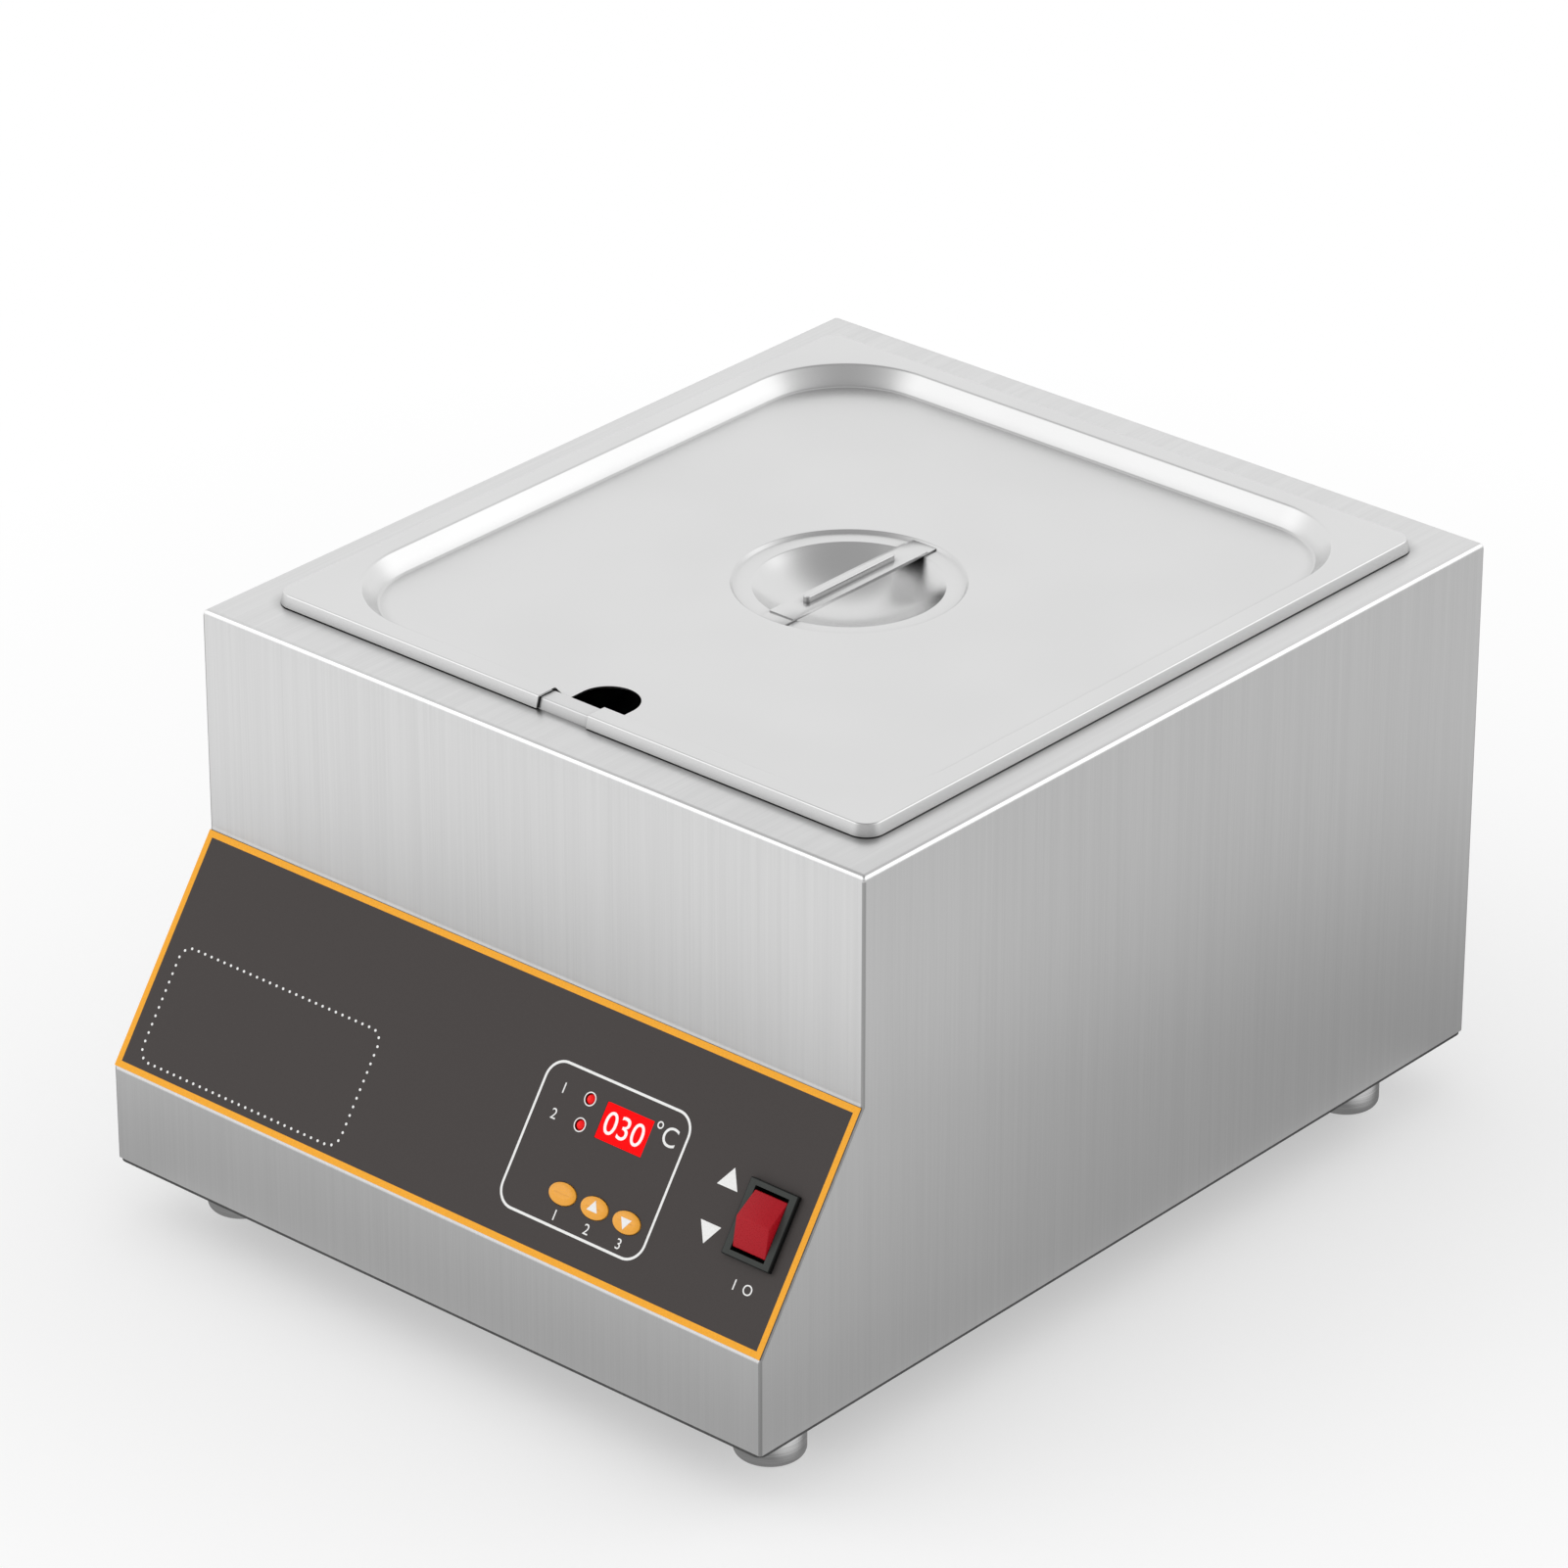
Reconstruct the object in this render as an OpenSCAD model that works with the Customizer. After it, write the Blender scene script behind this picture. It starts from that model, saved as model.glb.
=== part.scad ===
// Chocolate melting tank: a steel casing with a heated well, a pan that lifts out, a lid with a
// ladle notch, and a sloped control panel.
// Millimetres. +Z is up and the control panel faces -Y. The origin lies on the ground under the
// middle of the whole tank.

/* [Casing] */
// Width of the deck beside the lid, on each side
deck_side_w = 17.5; // [16:0.5:30]
// Depth of the deck in front of the lid and behind it
deck_end_d = 23; // [20:0.5:40]
// Height of the deck above the underside of the base plate
casing_h = 235; // [225:1:280]
// Height at which the sloped panel starts
panel_low_h = 45; // [42:1:52]
// Height at which the sloped panel ends
panel_high_h = 133; // [131:1:142]
// How far the foot of the sloped panel stands out from the upper front face
nose_reach = 61; // [55:1:70]
// Thickness of the casing's sheet
sheet_t = 1.2; // [0.8:0.1:1.6]
// Outside radius of the folded edges
fold_r = 2.5; // [2:0.1:4]
// Width of the flange turned in round the bottom of the casing
flange_w = 15; // [12:1:17]

/* [Base and feet] */
// Thickness of the base plate
base_t = 1.2; // [0.8:0.1:2]
// Corner radius of the base plate
base_corner_r = 4; // [2:0.5:8]
// Diameter of a foot
foot_dia = 30; // [24:1:34]
// Height of a foot
foot_h = 28; // [18:1:32]
// Radius of a foot's lower edge
foot_edge_r = 3; // [2:0.5:6]
// Distance from the side of the casing to a foot's axis
foot_side_inset = 31.5; // [31:0.5:45]
// Distance from the front or rear edge of the casing to a foot's axis
foot_end_inset = 41.5; // [36:0.5:60]

/* [Pan and lid] */
// Width of the lid over its rim, a two-thirds gastronorm size
lid_w = 325; // [318:1:332]
// Depth of the lid over its rim, a two-thirds gastronorm size
lid_d = 354; // [346:1:362]
// Outer corner radius of the lid
lid_corner_r = 14; // [12:1:18]
// Thickness of the lid's sheet
lid_t = 0.8; // [0.6:0.1:1]
// Height of the rolled rim of the lid
lid_rim_h = 5.2; // [5:0.1:5.5]
// Outside radius of the rolled rim of the lid
lid_rim_r = 5; // [4:0.1:5]
// Width of the lid's rim, from its outer edge to the recess
lid_ledge_w = 11.5; // [10.5:0.5:13]
// Depth of the recessed plate below the top of the rim
lid_recess_d = 8; // [7:0.5:9]
// How far the wall of the recess leans in
lid_recess_run = 7; // [6:0.5:8]
// Corner radius of the recess at its upper edge
lid_recess_r = 50; // [40:1:56]
// Diameter of the shallow step round the finger dish
ring_dia = 100; // [96:1:108]
// Depth of the step
ring_step = 1.5; // [1.2:0.1:2]
// Diameter of the finger dish
dish_dia = 82; // [74:1:84]
// Depth of the finger dish below the step
dish_depth = 20; // [15:1:24]
// Width of the ladle notch
notch_w = 27; // [22:1:32]
// Distance from the lid's front edge to the centre of the notch's round end
notch_reach = 28; // [26:1:34]
// Height of the pan's rim above the deck
pan_rise = 4.5; // [4.3:0.1:5]
// Depth of the pan, from the top of its rim to its underside
pan_depth = 150; // [100:1:155]
// Thickness of the pan's sheet
pan_t = 0.8; // [0.6:0.1:1]
// Clearance between the lid and the pan
nest_gap = 0.3; // [0.3:0.05:0.5]

/* [Strap handle] */
// Width of the strap
strap_w = 13; // [10:1:16]
// Length of the raised rib
rib_len = 56; // [40:1:64]
// Width of the raised rib
rib_w = 3.6; // [3:0.2:5]
// Height of the raised rib
rib_h = 2.4; // [1.8:0.1:3]

/* [Well and heaters] */
// Thickness of the well's sheet
well_t = 1; // [0.8:0.1:1.5]
// Width of the well's flange under the deck
well_flange_w = 12; // [11:0.5:14]
// Gap between the underside of the pan and the floor of the well
pan_floor_gap = 6; // [3:0.5:10]
// Thickness of the heater mats
heater_t = 2.5; // [1.5:0.5:4]
// Distance from the side of the well to the base heater
base_heater_side = 43; // [38:1:60]
// Distance from the front or rear of the well to the base heater
base_heater_end = 62.5; // [58:0.5:80]
// Distance from the front or rear of the well to the end of a side heater
side_heater_end = 67.5; // [58:0.5:90]
// Height of a side heater's lower edge above the underside of the well
side_heater_rise = 21.3; // [10:0.1:30]
// Thickness of the insulation boards beside the well
side_board_t = 18; // [10:1:20]
// Thickness of the insulation boards in front of the well and behind it
end_board_t = 12; // [8:1:14]

/* [Control panel] */
// Thickness of the printed overlay
overlay_t = 0.5; // [0.3:0.1:0.8]
// Width of the display window
window_w = 25; // [22:0.5:28]
// Height of the display window
window_h = 15.6; // [13:0.2:17]
// Diameter of an indicator lamp
lamp_dia = 4.4; // [3:0.2:5]
// Width of a push button
button_w = 14; // [12:0.5:14.5]
// Height of a push button's oval
button_h = 9; // [7:0.5:10]
// How far a push button stands proud of the overlay
button_proud = 1.3; // [1:0.1:2]
// Travel of a push button
button_travel = 0.7; // [0.4:0.1:0.9]
// Width of the control board
board_w = 84; // [80:1:90]
// Height of the control board
board_h = 72; // [70:1:76]
// Distance from the casing to the control board
board_gap = 14; // [13:0.5:18]

/* [Rocker switch] */
// Width of the switch's bezel
bezel_w = 25; // [24:0.5:28]
// Height of the switch's bezel
bezel_h = 32.5; // [31:0.5:36]
// Height of the bezel above the overlay
bezel_proud = 2.5; // [1.5:0.1:3]
// Width of the rocker
rocker_w = 17; // [15:0.5:17]
// Length of the rocker
rocker_len = 24; // [21:0.5:24]
// Height of the rocker's ridge above its ends
rocker_ridge_h = 5.4; // [4:0.2:7]
// Tilt of the rocker to each side, in degrees
rocker_tilt = 11; // [6:1:12]

/* [Cable gland] */
// Radius of the seal's bore, for the mains cord
cord_r = 4; // [3:0.1:4.5]
// Outside radius of the gland's thread
gland_thread_r = 7.6; // [7.2:0.1:9]
// Width across the flats of the gland's body
gland_hex_w = 20; // [18:0.5:24]
// Length of the gland's cap
gland_cap_len = 14; // [12:1:20]

/* [Hidden] */
$fn = 64;
// How far a cutting shape runs past the faces that it cuts
overrun = 1;
sides = [-1, 1];

// Clearances
fit_gap = 0.3;
screw_gap = 0.2;
pin_gap = 0.05;
film_gap = 0.02;

// Where the tank stands
gland_hex_t = 5;
gland_reach = gland_hex_t + gland_cap_len;
casing_w = lid_w + 2 * deck_side_w;
deck_d = lid_d + 2 * deck_end_d;
front_y = (nose_reach - deck_d - gland_reach) / 2;
deck_mid_y = deck_d / 2;
panel_lean = atan2(nose_reach, panel_high_h - panel_low_h);
panel_len = norm([nose_reach, panel_high_h - panel_low_h]);

// Screws: radius of the shank, radius and height of the head
screw_r = 2;
screw_head_r = 3.6;
screw_head_h = 2.4;
screw_len = 9;
nut_r = 4.4;
nut_h = 3.2;
base_screw_end_inset = 90;
foot_screw_r = 3;
foot_screw_len = 14;
foot_screw_head_r = 5;
foot_screw_head_h = 3.5;
vent_w = 5;
vent_len = 60;
vent_pitch = 15;
vent_count = 7;

// Lid: levels above the underside of the base plate, and the slope of the recess
lid_z = casing_h + pan_rise + nest_gap + lid_t;
lid_skirt_z = lid_z - lid_rim_h;
plate_z = lid_z - lid_recess_d;
ring_z = plate_z - ring_step;
recess_slope = lid_recess_run / lid_recess_d;
recess_spread = norm([1, recess_slope]);
recess_w = lid_w - 2 * lid_ledge_w;
recess_d = lid_d - 2 * lid_ledge_w;
dish_r = dish_dia / 2;
dish_sphere_r = (pow(dish_r, 2) + pow(dish_depth, 2)) / (2 * dish_depth);
strap_end_gap = 0.6;
strap_len = 2 * (sqrt(pow(ring_dia / 2, 2) - pow(strap_w / 2, 2)) - strap_end_gap);

// Pan: its rim follows the inside of the lid's rim, and its shoulder the recess
pan_side_gap = 0.4;
pan_w = lid_w - 2 * (lid_t + pan_side_gap);
pan_d = lid_d - 2 * (lid_t + pan_side_gap);
pan_rim_r = lid_rim_r - lid_t - pan_side_gap;
pan_corner_r = lid_corner_r - lid_t - pan_side_gap;
pan_z = casing_h + pan_rise;
shoulder_out = (lid_t + pan_side_gap) * recess_spread - (lid_z - pan_z) * recess_slope;
mouth_w = recess_w + 2 * shoulder_out;
mouth_d = recess_d + 2 * shoulder_out;
mouth_r = lid_recess_r + shoulder_out;
shoulder_h = 9;
wall_inset = 6.4;
wall_draft = 3.5;
floor_bevel_h = 12;
floor_bevel_run = 9;

// Deck opening and well
deck_hole_gap = 5;
deck_hole_w = mouth_w - 2 * (wall_inset - pan_t) + 2 * deck_hole_gap;
deck_hole_d = mouth_d - 2 * (wall_inset - pan_t) + 2 * deck_hole_gap;
deck_hole_r = mouth_r;
well_lip = 1;
well_w = deck_hole_w + 2 * (well_lip + well_t);
well_d = deck_hole_d + 2 * (well_lip + well_t);
well_r = deck_hole_r + well_lip + well_t;
well_top_z = casing_h - sheet_t;
well_floor_z = pan_z - pan_depth - pan_floor_gap;
well_under_z = well_floor_z - well_t;
well_stud_share = 0.28;
well_stud_inset = well_flange_w / 2;
well_stud_len = 8;
base_heater_w = well_w - 2 * base_heater_side;
base_heater_d = well_d - 2 * base_heater_end;
clamp_t = 1.5;
clamp_margin = 12;
clamp_stud_end = 1.8;
clamp_stud_len = heater_t + clamp_t + nut_h + clamp_stud_end;
side_heater_drop = 40;
side_heater_len = well_d - 2 * side_heater_end;
side_heater_h = well_top_z - side_heater_drop - well_under_z - side_heater_rise;
wool_drop = 18;
wool_rise = 3.3;
wool_h = well_top_z - wool_drop - well_under_z - wool_rise;
side_board_end = 52.5;
side_board_len = well_d - 2 * side_board_end;
end_board_side = 48;
end_board_w = well_w - 2 * end_board_side;

// Probe and cut-out under the floor of the well, in front of the base heater
sensor_gap = 24;
sensor_y = deck_mid_y - base_heater_d / 2 - clamp_margin - sensor_gap;
probe_r = 2.5;
probe_len = 40;
probe_left = 45;
probe_x = -probe_left;
clip_t = 1;
clip_len = 12;
clip_ear = 9;
cutout_r = 8;
cutout_h = 9;
cutout_x = 35;
ear_r = 4.5;
ear_t = 1;
ear_reach = 13;
sensor_screw_r = 1.5;
sensor_screw_head_r = 2.8;
sensor_screw_head_h = 1.8;

// Places on the panel: in from its right-hand edge, and up the slope from its lower edge
overlay_margin = 0.4;
window_in = 102.8;
window_up = 61.8;
lamp_in = 124;
heating_lamp_up = 67.4;
holding_lamp_up = 56.3;
button_in = 101.6;
button_row = 28.2;
button_pitch = 17.25;
switch_in = 22.8;
switch_up = 49.2;
board_in = 110.5;
board_up = 46;
relay_in = 92;
relay_up = 56;
transformer_in = 128;
transformer_up = 52;
block_in = 110.5;
block_up = 24;
window_at = [casing_w / 2 - window_in, window_up];
heating_lamp_at = [casing_w / 2 - lamp_in, heating_lamp_up];
holding_lamp_at = [casing_w / 2 - lamp_in, holding_lamp_up];
button_up_at = [casing_w / 2 - button_in, button_row];
button_set_at = button_up_at - [button_pitch, 0];
button_down_at = button_up_at + [button_pitch, 0];
switch_at = [casing_w / 2 - switch_in, switch_up];
board_at = [casing_w / 2 - board_in, board_up];
relay_at = [casing_w / 2 - relay_in, relay_up];
transformer_at = [casing_w / 2 - transformer_in, transformer_up];
block_at = [casing_w / 2 - block_in, block_up];

// Levels on the panel, along its outward normal
sheet_back = -sheet_t;
board_front = sheet_back - board_gap;
board_t = 1.6;
board_back = board_front - board_t;
window_proud = 0.4;
window_rim = 2.2;
window_rim_t = 1.5;
module_gap = 0.5;
lamp_proud = 0.6;
lamp_flat = 0.05;
lamp_base_r = 3;
lamp_base_h = 4;
oval_sides = 36;
button_flange = 1.2;
button_flange_t = 1;
stem_r = 1.5;
stem_dip = 0.3;
tact_w = 6;
tact_h = 5;
tact_hole_room = 1;
tact_hole_d = stem_dip + button_travel + tact_hole_room;
spacer_r = 3;
board_hole_inset = 5;
board_screw_r = 1.5;
board_screw_head_r = 2.8;
board_screw_head_h = 2;
board_screw_len = 8;
relay_size = [19, 15.5, 15];
transformer_size = [32, 27, 20];
lamination_t = 10;
block_size = [46, 10, 12];
block_ways = 6;
block_screw_r = 1.6;
block_screw_d = 2;

// Rocker switch
switch_body_gap = 0.4;
bezel_lip = 1.7;
switch_body_w = bezel_w - 2 * bezel_lip;
switch_body_h = bezel_h - 2 * bezel_lip;
switch_hole_w = switch_body_w + 2 * switch_body_gap;
switch_hole_h = switch_body_h + 2 * switch_body_gap;
switch_body_d = 22;
switch_end_wall = 0.9;
rocker_pivot_drop = 3;
rocker_pin_r = 1.45;
rocker_pin_len = 1.5;
rocker_end_top = overlay_t + bezel_proud - fit_gap;
rocker_end_drop = 1;
rocker_heel = 5;
rocker_heel_drop = 6.5;
rocker_room = 2.5;
rocker_room_low = -rocker_heel_drop - rocker_heel * sin(rocker_tilt) - rocker_room;
blade_w = 6.3;
blade_t = 0.8;
blade_len = 8;
blade_share = 0.28;

// Cable gland and earth bolt
gland_in = 70;
gland_z = 42;
gland_at = [gland_in - casing_w / 2, gland_z];
gland_bore_gap = 0.6;
gland_seal_len = 12;
gland_seal_r = 6;
gland_inside_len = 9;
gland_lock_t = 4;
gland_cap_r = 9;
gland_cap_edge = 3;
gland_cap_gap = 0.3;
earth_in = 110;
earth_end_in = 60;
earth_at = [earth_in - casing_w / 2, deck_d - earth_end_in];
earth_r = 2.5;
earth_len = 14;
earth_head_r = 4.6;
earth_head_h = 3.5;

// Leads
lead_r = 1.2;
lead_sides = 8;
lead_side = [0.3, 0.2, 1];
lead_step = 6;

// Colours
steel = [0.80, 0.80, 0.80];
bright_steel = [0.86, 0.86, 0.86];
zinc = [0.70, 0.71, 0.72];
dark_film = [0.30, 0.285, 0.28];
orange = [0.98, 0.68, 0.26];
red = [0.72, 0.08, 0.12];
black = [0.10, 0.10, 0.10];
board_green = [0.10, 0.35, 0.20];
brass = [0.78, 0.62, 0.30];
silicone = [0.70, 0.32, 0.20];
wool = [0.86, 0.82, 0.70];

// The tank's own frame: y is 0 at the upper front face, z is 0 under the base plate
module in_tank() {
  translate([0, front_y, foot_h]) children();
}

// The panel's frame: x across, y up the slope, z outwards
module on_panel(at = [0, 0]) {
  in_tank() translate([0, -nose_reach, panel_low_h]) rotate([90 - panel_lean, 0, 0])
    translate([at[0], at[1], 0]) children();
}

// A point of the panel's frame, in the tank's own frame
function panel_point(x, up, out) = [
  x,
  -nose_reach + up * sin(panel_lean) - out * cos(panel_lean),
  panel_low_h + up * cos(panel_lean) + out * sin(panel_lean)
];

// A block with upright round corners, standing on z = 0
module round_block(w, d, r, h) {
  translate([-w / 2 + r, -d / 2, 0]) cube([w - 2 * r, d, h]);
  translate([-w / 2, -d / 2 + r, 0]) cube([w, d - 2 * r, h]);
  for (sx = sides, sy = sides) translate([sx * (w / 2 - r), sy * (d / 2 - r), 0]) cylinder(h = h, r = r);
}

// Section of a bar whose upper edges are round
module rolled_section(w, h, r) {
  translate([-w / 2, 0]) square([w, h - r]);
  translate([-w / 2 + r, 0]) square([w - 2 * r, h]);
  intersection() {
    for (sx = sides) translate([sx * (w / 2 - r), h - r]) circle(r);
    translate([-w / 2, h - r]) square([w, r]);
  }
}

// A block with round corners and a rolled upper edge, standing on z = 0
module rolled_block(w, d, corner_r, h, r) {
  rotate([90, 0, 0]) linear_extrude(d - 2 * corner_r, center = true) rolled_section(w, h, r);
  rotate([90, 0, 90]) linear_extrude(w - 2 * corner_r, center = true) rolled_section(d, h, r);
  for (sx = sides, sy = sides)
    translate([sx * (w / 2 - corner_r), sy * (d / 2 - corner_r), 0]) rotate_extrude() {
      square([corner_r, h - r]);
      square([corner_r - r, h]);
      intersection() {
        translate([corner_r - r, h - r]) circle(r);
        translate([0, h - r]) square([corner_r, r]);
      }
    }
}

// A block with round corners that tapers downwards from z = 0
module tapered_block(w, d, r, h, run) {
  rotate([90, 0, 0]) linear_extrude(d - 2 * r, center = true)
    polygon([[-w / 2, 0], [w / 2, 0], [w / 2 - run, -h], [-w / 2 + run, -h]]);
  rotate([90, 0, 90]) linear_extrude(w - 2 * r, center = true)
    polygon([[-d / 2, 0], [d / 2, 0], [d / 2 - run, -h], [-d / 2 + run, -h]]);
  for (sx = sides, sy = sides)
    translate([sx * (w / 2 - r), sy * (d / 2 - r), -h]) cylinder(h = h, r1 = r - run, r2 = r);
}

// An oval plate, standing on z = 0
module oval(w, d, h) {
  linear_extrude(h) polygon([for (i = [0 : oval_sides - 1])
    let (a = i * 360 / oval_sides) [w / 2 * cos(a), d / 2 * sin(a)]
  ]);
}

// A screw with its head below z = 0 and its shank above
module screw(shank_r, len, head_r, head_h) {
  cylinder(h = len, r = shank_r);
  translate([0, 0, -head_h]) cylinder(h = head_h, r = head_r);
}

// A hexagon nut standing on z = 0
module nut(hex_r, hole_r, h) {
  difference() {
    cylinder(h = h, r = hex_r, $fn = 6);
    translate([0, 0, -overrun]) cylinder(h = h + 2 * overrun, r = hole_r);
  }
}

function unit(v) = v / norm(v);

// Direction of a route at one of its points, half-way between the stretches that meet there
function route_way(points, i) = let (
  last = len(points) - 1,
  before = i > 0 ? unit(points[i] - points[i - 1]) : [0, 0, 0],
  after = i < last ? unit(points[i + 1] - points[i]) : [0, 0, 0]
) unit(before + after);

// A ring of points round a route, square to it
function lead_ring(at, way) = let (
  across = unit(cross(way, lead_side)),
  up = cross(across, way)
) [for (k = [0 : lead_sides - 1])
  let (a = k * 360 / lead_sides) at + lead_r * (across * cos(a) + up * sin(a))
];

// A lead that runs through a list of points
module lead(points) {
  last = len(points) - 1;
  walls = [for (i = [0 : last - 1], k = [0 : lead_sides - 1]) let (
    a = i * lead_sides + k,
    b = i * lead_sides + (k + 1) % lead_sides
  ) each [[a, b, b + lead_sides], [a, b + lead_sides, a + lead_sides]]];
  start = [for (k = [lead_sides - 1 : -1 : 0]) k];
  end = [for (k = [0 : lead_sides - 1]) last * lead_sides + k];
  polyhedron(
    points = [for (i = [0 : last]) each lead_ring(points[i], route_way(points, i))],
    faces = concat(walls, [start, end])
  );
}

// Side view of the casing, in from its outer face by a distance
module casing_side(inset) {
  r = fold_r - inset;
  low = base_t + inset;
  high = casing_h - inset;
  front = -nose_reach + inset;
  back = deck_d - inset;
  bend = inset * tan(panel_lean / 2);
  polygon([
    [front + r, low], [front, low + r], [front, panel_low_h - bend], [inset, panel_high_h - bend],
    [inset, high - r], [inset + r, high], [back - r, high], [back, high - r], [back, low + r], [back - r, low]
  ]);
  for (at = [[front + r, low + r], [inset + r, high - r], [back - r, high - r], [back - r, low + r]])
    translate(at) circle(r);
}

// Front view of the casing, in from its outer face by a distance
module casing_front(inset) {
  r = fold_r - inset;
  w = casing_w - 2 * inset;
  low = base_t + inset;
  high = casing_h - inset;
  translate([-w / 2, low + r]) square([w, high - low - 2 * r]);
  translate([-w / 2 + r, low]) square([w - 2 * r, high - low]);
  for (sx = sides, z = [low + r, high - r]) translate([sx * (w / 2 - r), z]) circle(r);
}

module casing_form(inset) {
  intersection() {
    rotate([90, 0, 90]) linear_extrude(casing_w + 2 * overrun, center = true) casing_side(inset);
    translate([0, deck_d + overrun, 0]) rotate([90, 0, 0])
      linear_extrude(deck_d + nose_reach + 2 * overrun) casing_front(inset);
  }
}

// Places of the screws that hold the base plate to the flange
function base_screw_places() = let (
  x = casing_w / 2 - flange_w / 2,
  front = -nose_reach + flange_w / 2,
  back = deck_d - flange_w / 2
) [for (sx = sides) each [
  [sx * x, front + base_screw_end_inset], [sx * x, back - base_screw_end_inset],
  [sx * x / 2, front], [sx * x / 2, back]
]];

function foot_place(sx, sy) = [
  sx * (casing_w / 2 - foot_side_inset),
  sy < 0 ? -nose_reach + foot_end_inset : deck_d - foot_end_inset
];

// Places of the studs that hold the well under the deck
function well_stud_places() = let (
  x = well_w / 2 + well_stud_inset,
  y = well_d / 2 + well_stud_inset
) [for (sx = sides, sy = sides) each [
  [sx * x, deck_mid_y + sy * well_d * well_stud_share],
  [sx * well_w * well_stud_share, deck_mid_y + sy * y]
]];

// Places of the studs that hold the heater's clamp plate
function clamp_stud_places() = [for (sx = sides, sy = sides) [
  sx * (base_heater_w + clamp_margin) / 2,
  deck_mid_y + sy * (base_heater_d + clamp_margin) / 2
]];

function board_hole_places() = [for (sx = sides, sy = sides) [
  board_at[0] + sx * (board_w / 2 - board_hole_inset),
  board_at[1] + sy * (board_h / 2 - board_hole_inset)
]];

// Everything that passes through the sheet of the sloped panel
module panel_holes(depth) {
  translate([0, 0, -depth]) {
    translate(window_at) translate([-window_w / 2, -window_h / 2, 0]) cube([window_w, window_h, 2 * depth]);
    for (at = [heating_lamp_at, holding_lamp_at])
      translate(at) cylinder(h = 2 * depth, r = lamp_dia / 2 + fit_gap);
    for (at = [button_set_at, button_up_at, button_down_at])
      translate(at) oval(button_w + 2 * fit_gap, button_h + 2 * fit_gap, 2 * depth);
    translate(switch_at) translate([-switch_hole_w / 2, -switch_hole_h / 2, 0])
      cube([switch_hole_w, switch_hole_h, 2 * depth]);
  }
}

module casing() {
  color(steel) {
    difference() {
      in_tank() difference() {
        casing_form(0);
        casing_form(sheet_t);
        translate([0, deck_mid_y, casing_h - 2 * sheet_t])
          round_block(deck_hole_w, deck_hole_d, deck_hole_r, 3 * sheet_t);
        translate([-casing_w / 2 + flange_w, -nose_reach + flange_w, 0])
          cube([casing_w - 2 * flange_w, deck_d + nose_reach - 2 * flange_w, fold_r + base_t]);
        for (at = base_screw_places())
          translate([at[0], at[1], 0]) cylinder(h = fold_r + base_t, r = screw_r + screw_gap);
        translate([gland_at[0], deck_d + overrun, gland_at[1]]) rotate([90, 0, 0])
          cylinder(h = fold_r + overrun, r = gland_thread_r + screw_gap);
      }
      on_panel() panel_holes(2 * sheet_t);
    }
    in_tank() for (at = well_stud_places())
      translate([at[0], at[1], well_top_z - well_stud_len])
        cylinder(h = well_stud_len + sheet_t / 2, r = screw_r);
  }
}

// A slot with round ends, standing on z = 0
module vent(h) {
  translate([-vent_w / 2, -vent_len / 2, 0]) cube([vent_w, vent_len, h]);
  for (sy = sides) translate([0, sy * vent_len / 2, 0]) cylinder(h = h, r = vent_w / 2);
}

module base_plate() {
  color(steel) in_tank() difference() {
    translate([0, (deck_d - nose_reach) / 2, 0])
      round_block(casing_w, deck_d + nose_reach, base_corner_r, base_t);
    for (at = base_screw_places()) translate([at[0], at[1], -overrun])
      cylinder(h = base_t + 2 * overrun, r = screw_r + screw_gap);
    for (sx = sides, sy = sides) translate(foot_place(sx, sy)) translate([0, 0, -overrun])
      cylinder(h = base_t + 2 * overrun, r = foot_screw_r + screw_gap);
    translate([earth_at[0], earth_at[1], -overrun])
      cylinder(h = base_t + 2 * overrun, r = earth_r + screw_gap);
    for (i = [0 : vent_count - 1])
      translate([(i - (vent_count - 1) / 2) * vent_pitch, deck_mid_y, -overrun])
        vent(base_t + 2 * overrun);
  }
}

module base_screws() {
  color(zinc) in_tank() for (at = base_screw_places())
    translate(at) screw(screw_r, screw_len, screw_head_r, screw_head_h);
}

module foot(sx, sy) {
  r = foot_dia / 2;
  color(bright_steel) in_tank() translate(foot_place(sx, sy)) translate([0, 0, -foot_h]) difference() {
    rotate_extrude() {
      square([r - foot_edge_r, foot_h]);
      translate([0, foot_edge_r]) square([r, foot_h - foot_edge_r]);
      translate([r - foot_edge_r, foot_edge_r]) circle(foot_edge_r);
    }
    translate([0, 0, foot_h - foot_screw_len])
      cylinder(h = foot_screw_len + overrun, r = foot_screw_r + pin_gap);
  }
}

module foot_screws() {
  color(zinc) in_tank() for (sx = sides, sy = sides) translate(foot_place(sx, sy)) translate([0, 0, base_t])
    rotate([180, 0, 0]) screw(foot_screw_r, foot_screw_len, foot_screw_head_r, foot_screw_head_h);
}

module heating_well() {
  color(steel) in_tank() translate([0, deck_mid_y, 0]) {
    difference() {
      union() {
        translate([0, 0, well_under_z]) round_block(well_w, well_d, well_r, well_top_z - well_under_z);
        translate([0, 0, well_top_z - well_t])
          round_block(well_w + 2 * well_flange_w, well_d + 2 * well_flange_w, well_r + well_flange_w, well_t);
      }
      translate([0, 0, well_floor_z]) round_block(
        well_w - 2 * well_t, well_d - 2 * well_t, well_r - well_t, well_top_z - well_floor_z + overrun
      );
      translate([0, -deck_mid_y, 0]) for (at = well_stud_places())
        translate([at[0], at[1], well_top_z - well_t - overrun])
          cylinder(h = well_t + 2 * overrun, r = screw_r + screw_gap);
    }
    translate([0, -deck_mid_y, 0]) for (at = clamp_stud_places())
      translate([at[0], at[1], well_under_z - clamp_stud_len])
        cylinder(h = clamp_stud_len + well_t / 2, r = screw_r);
  }
}

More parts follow.
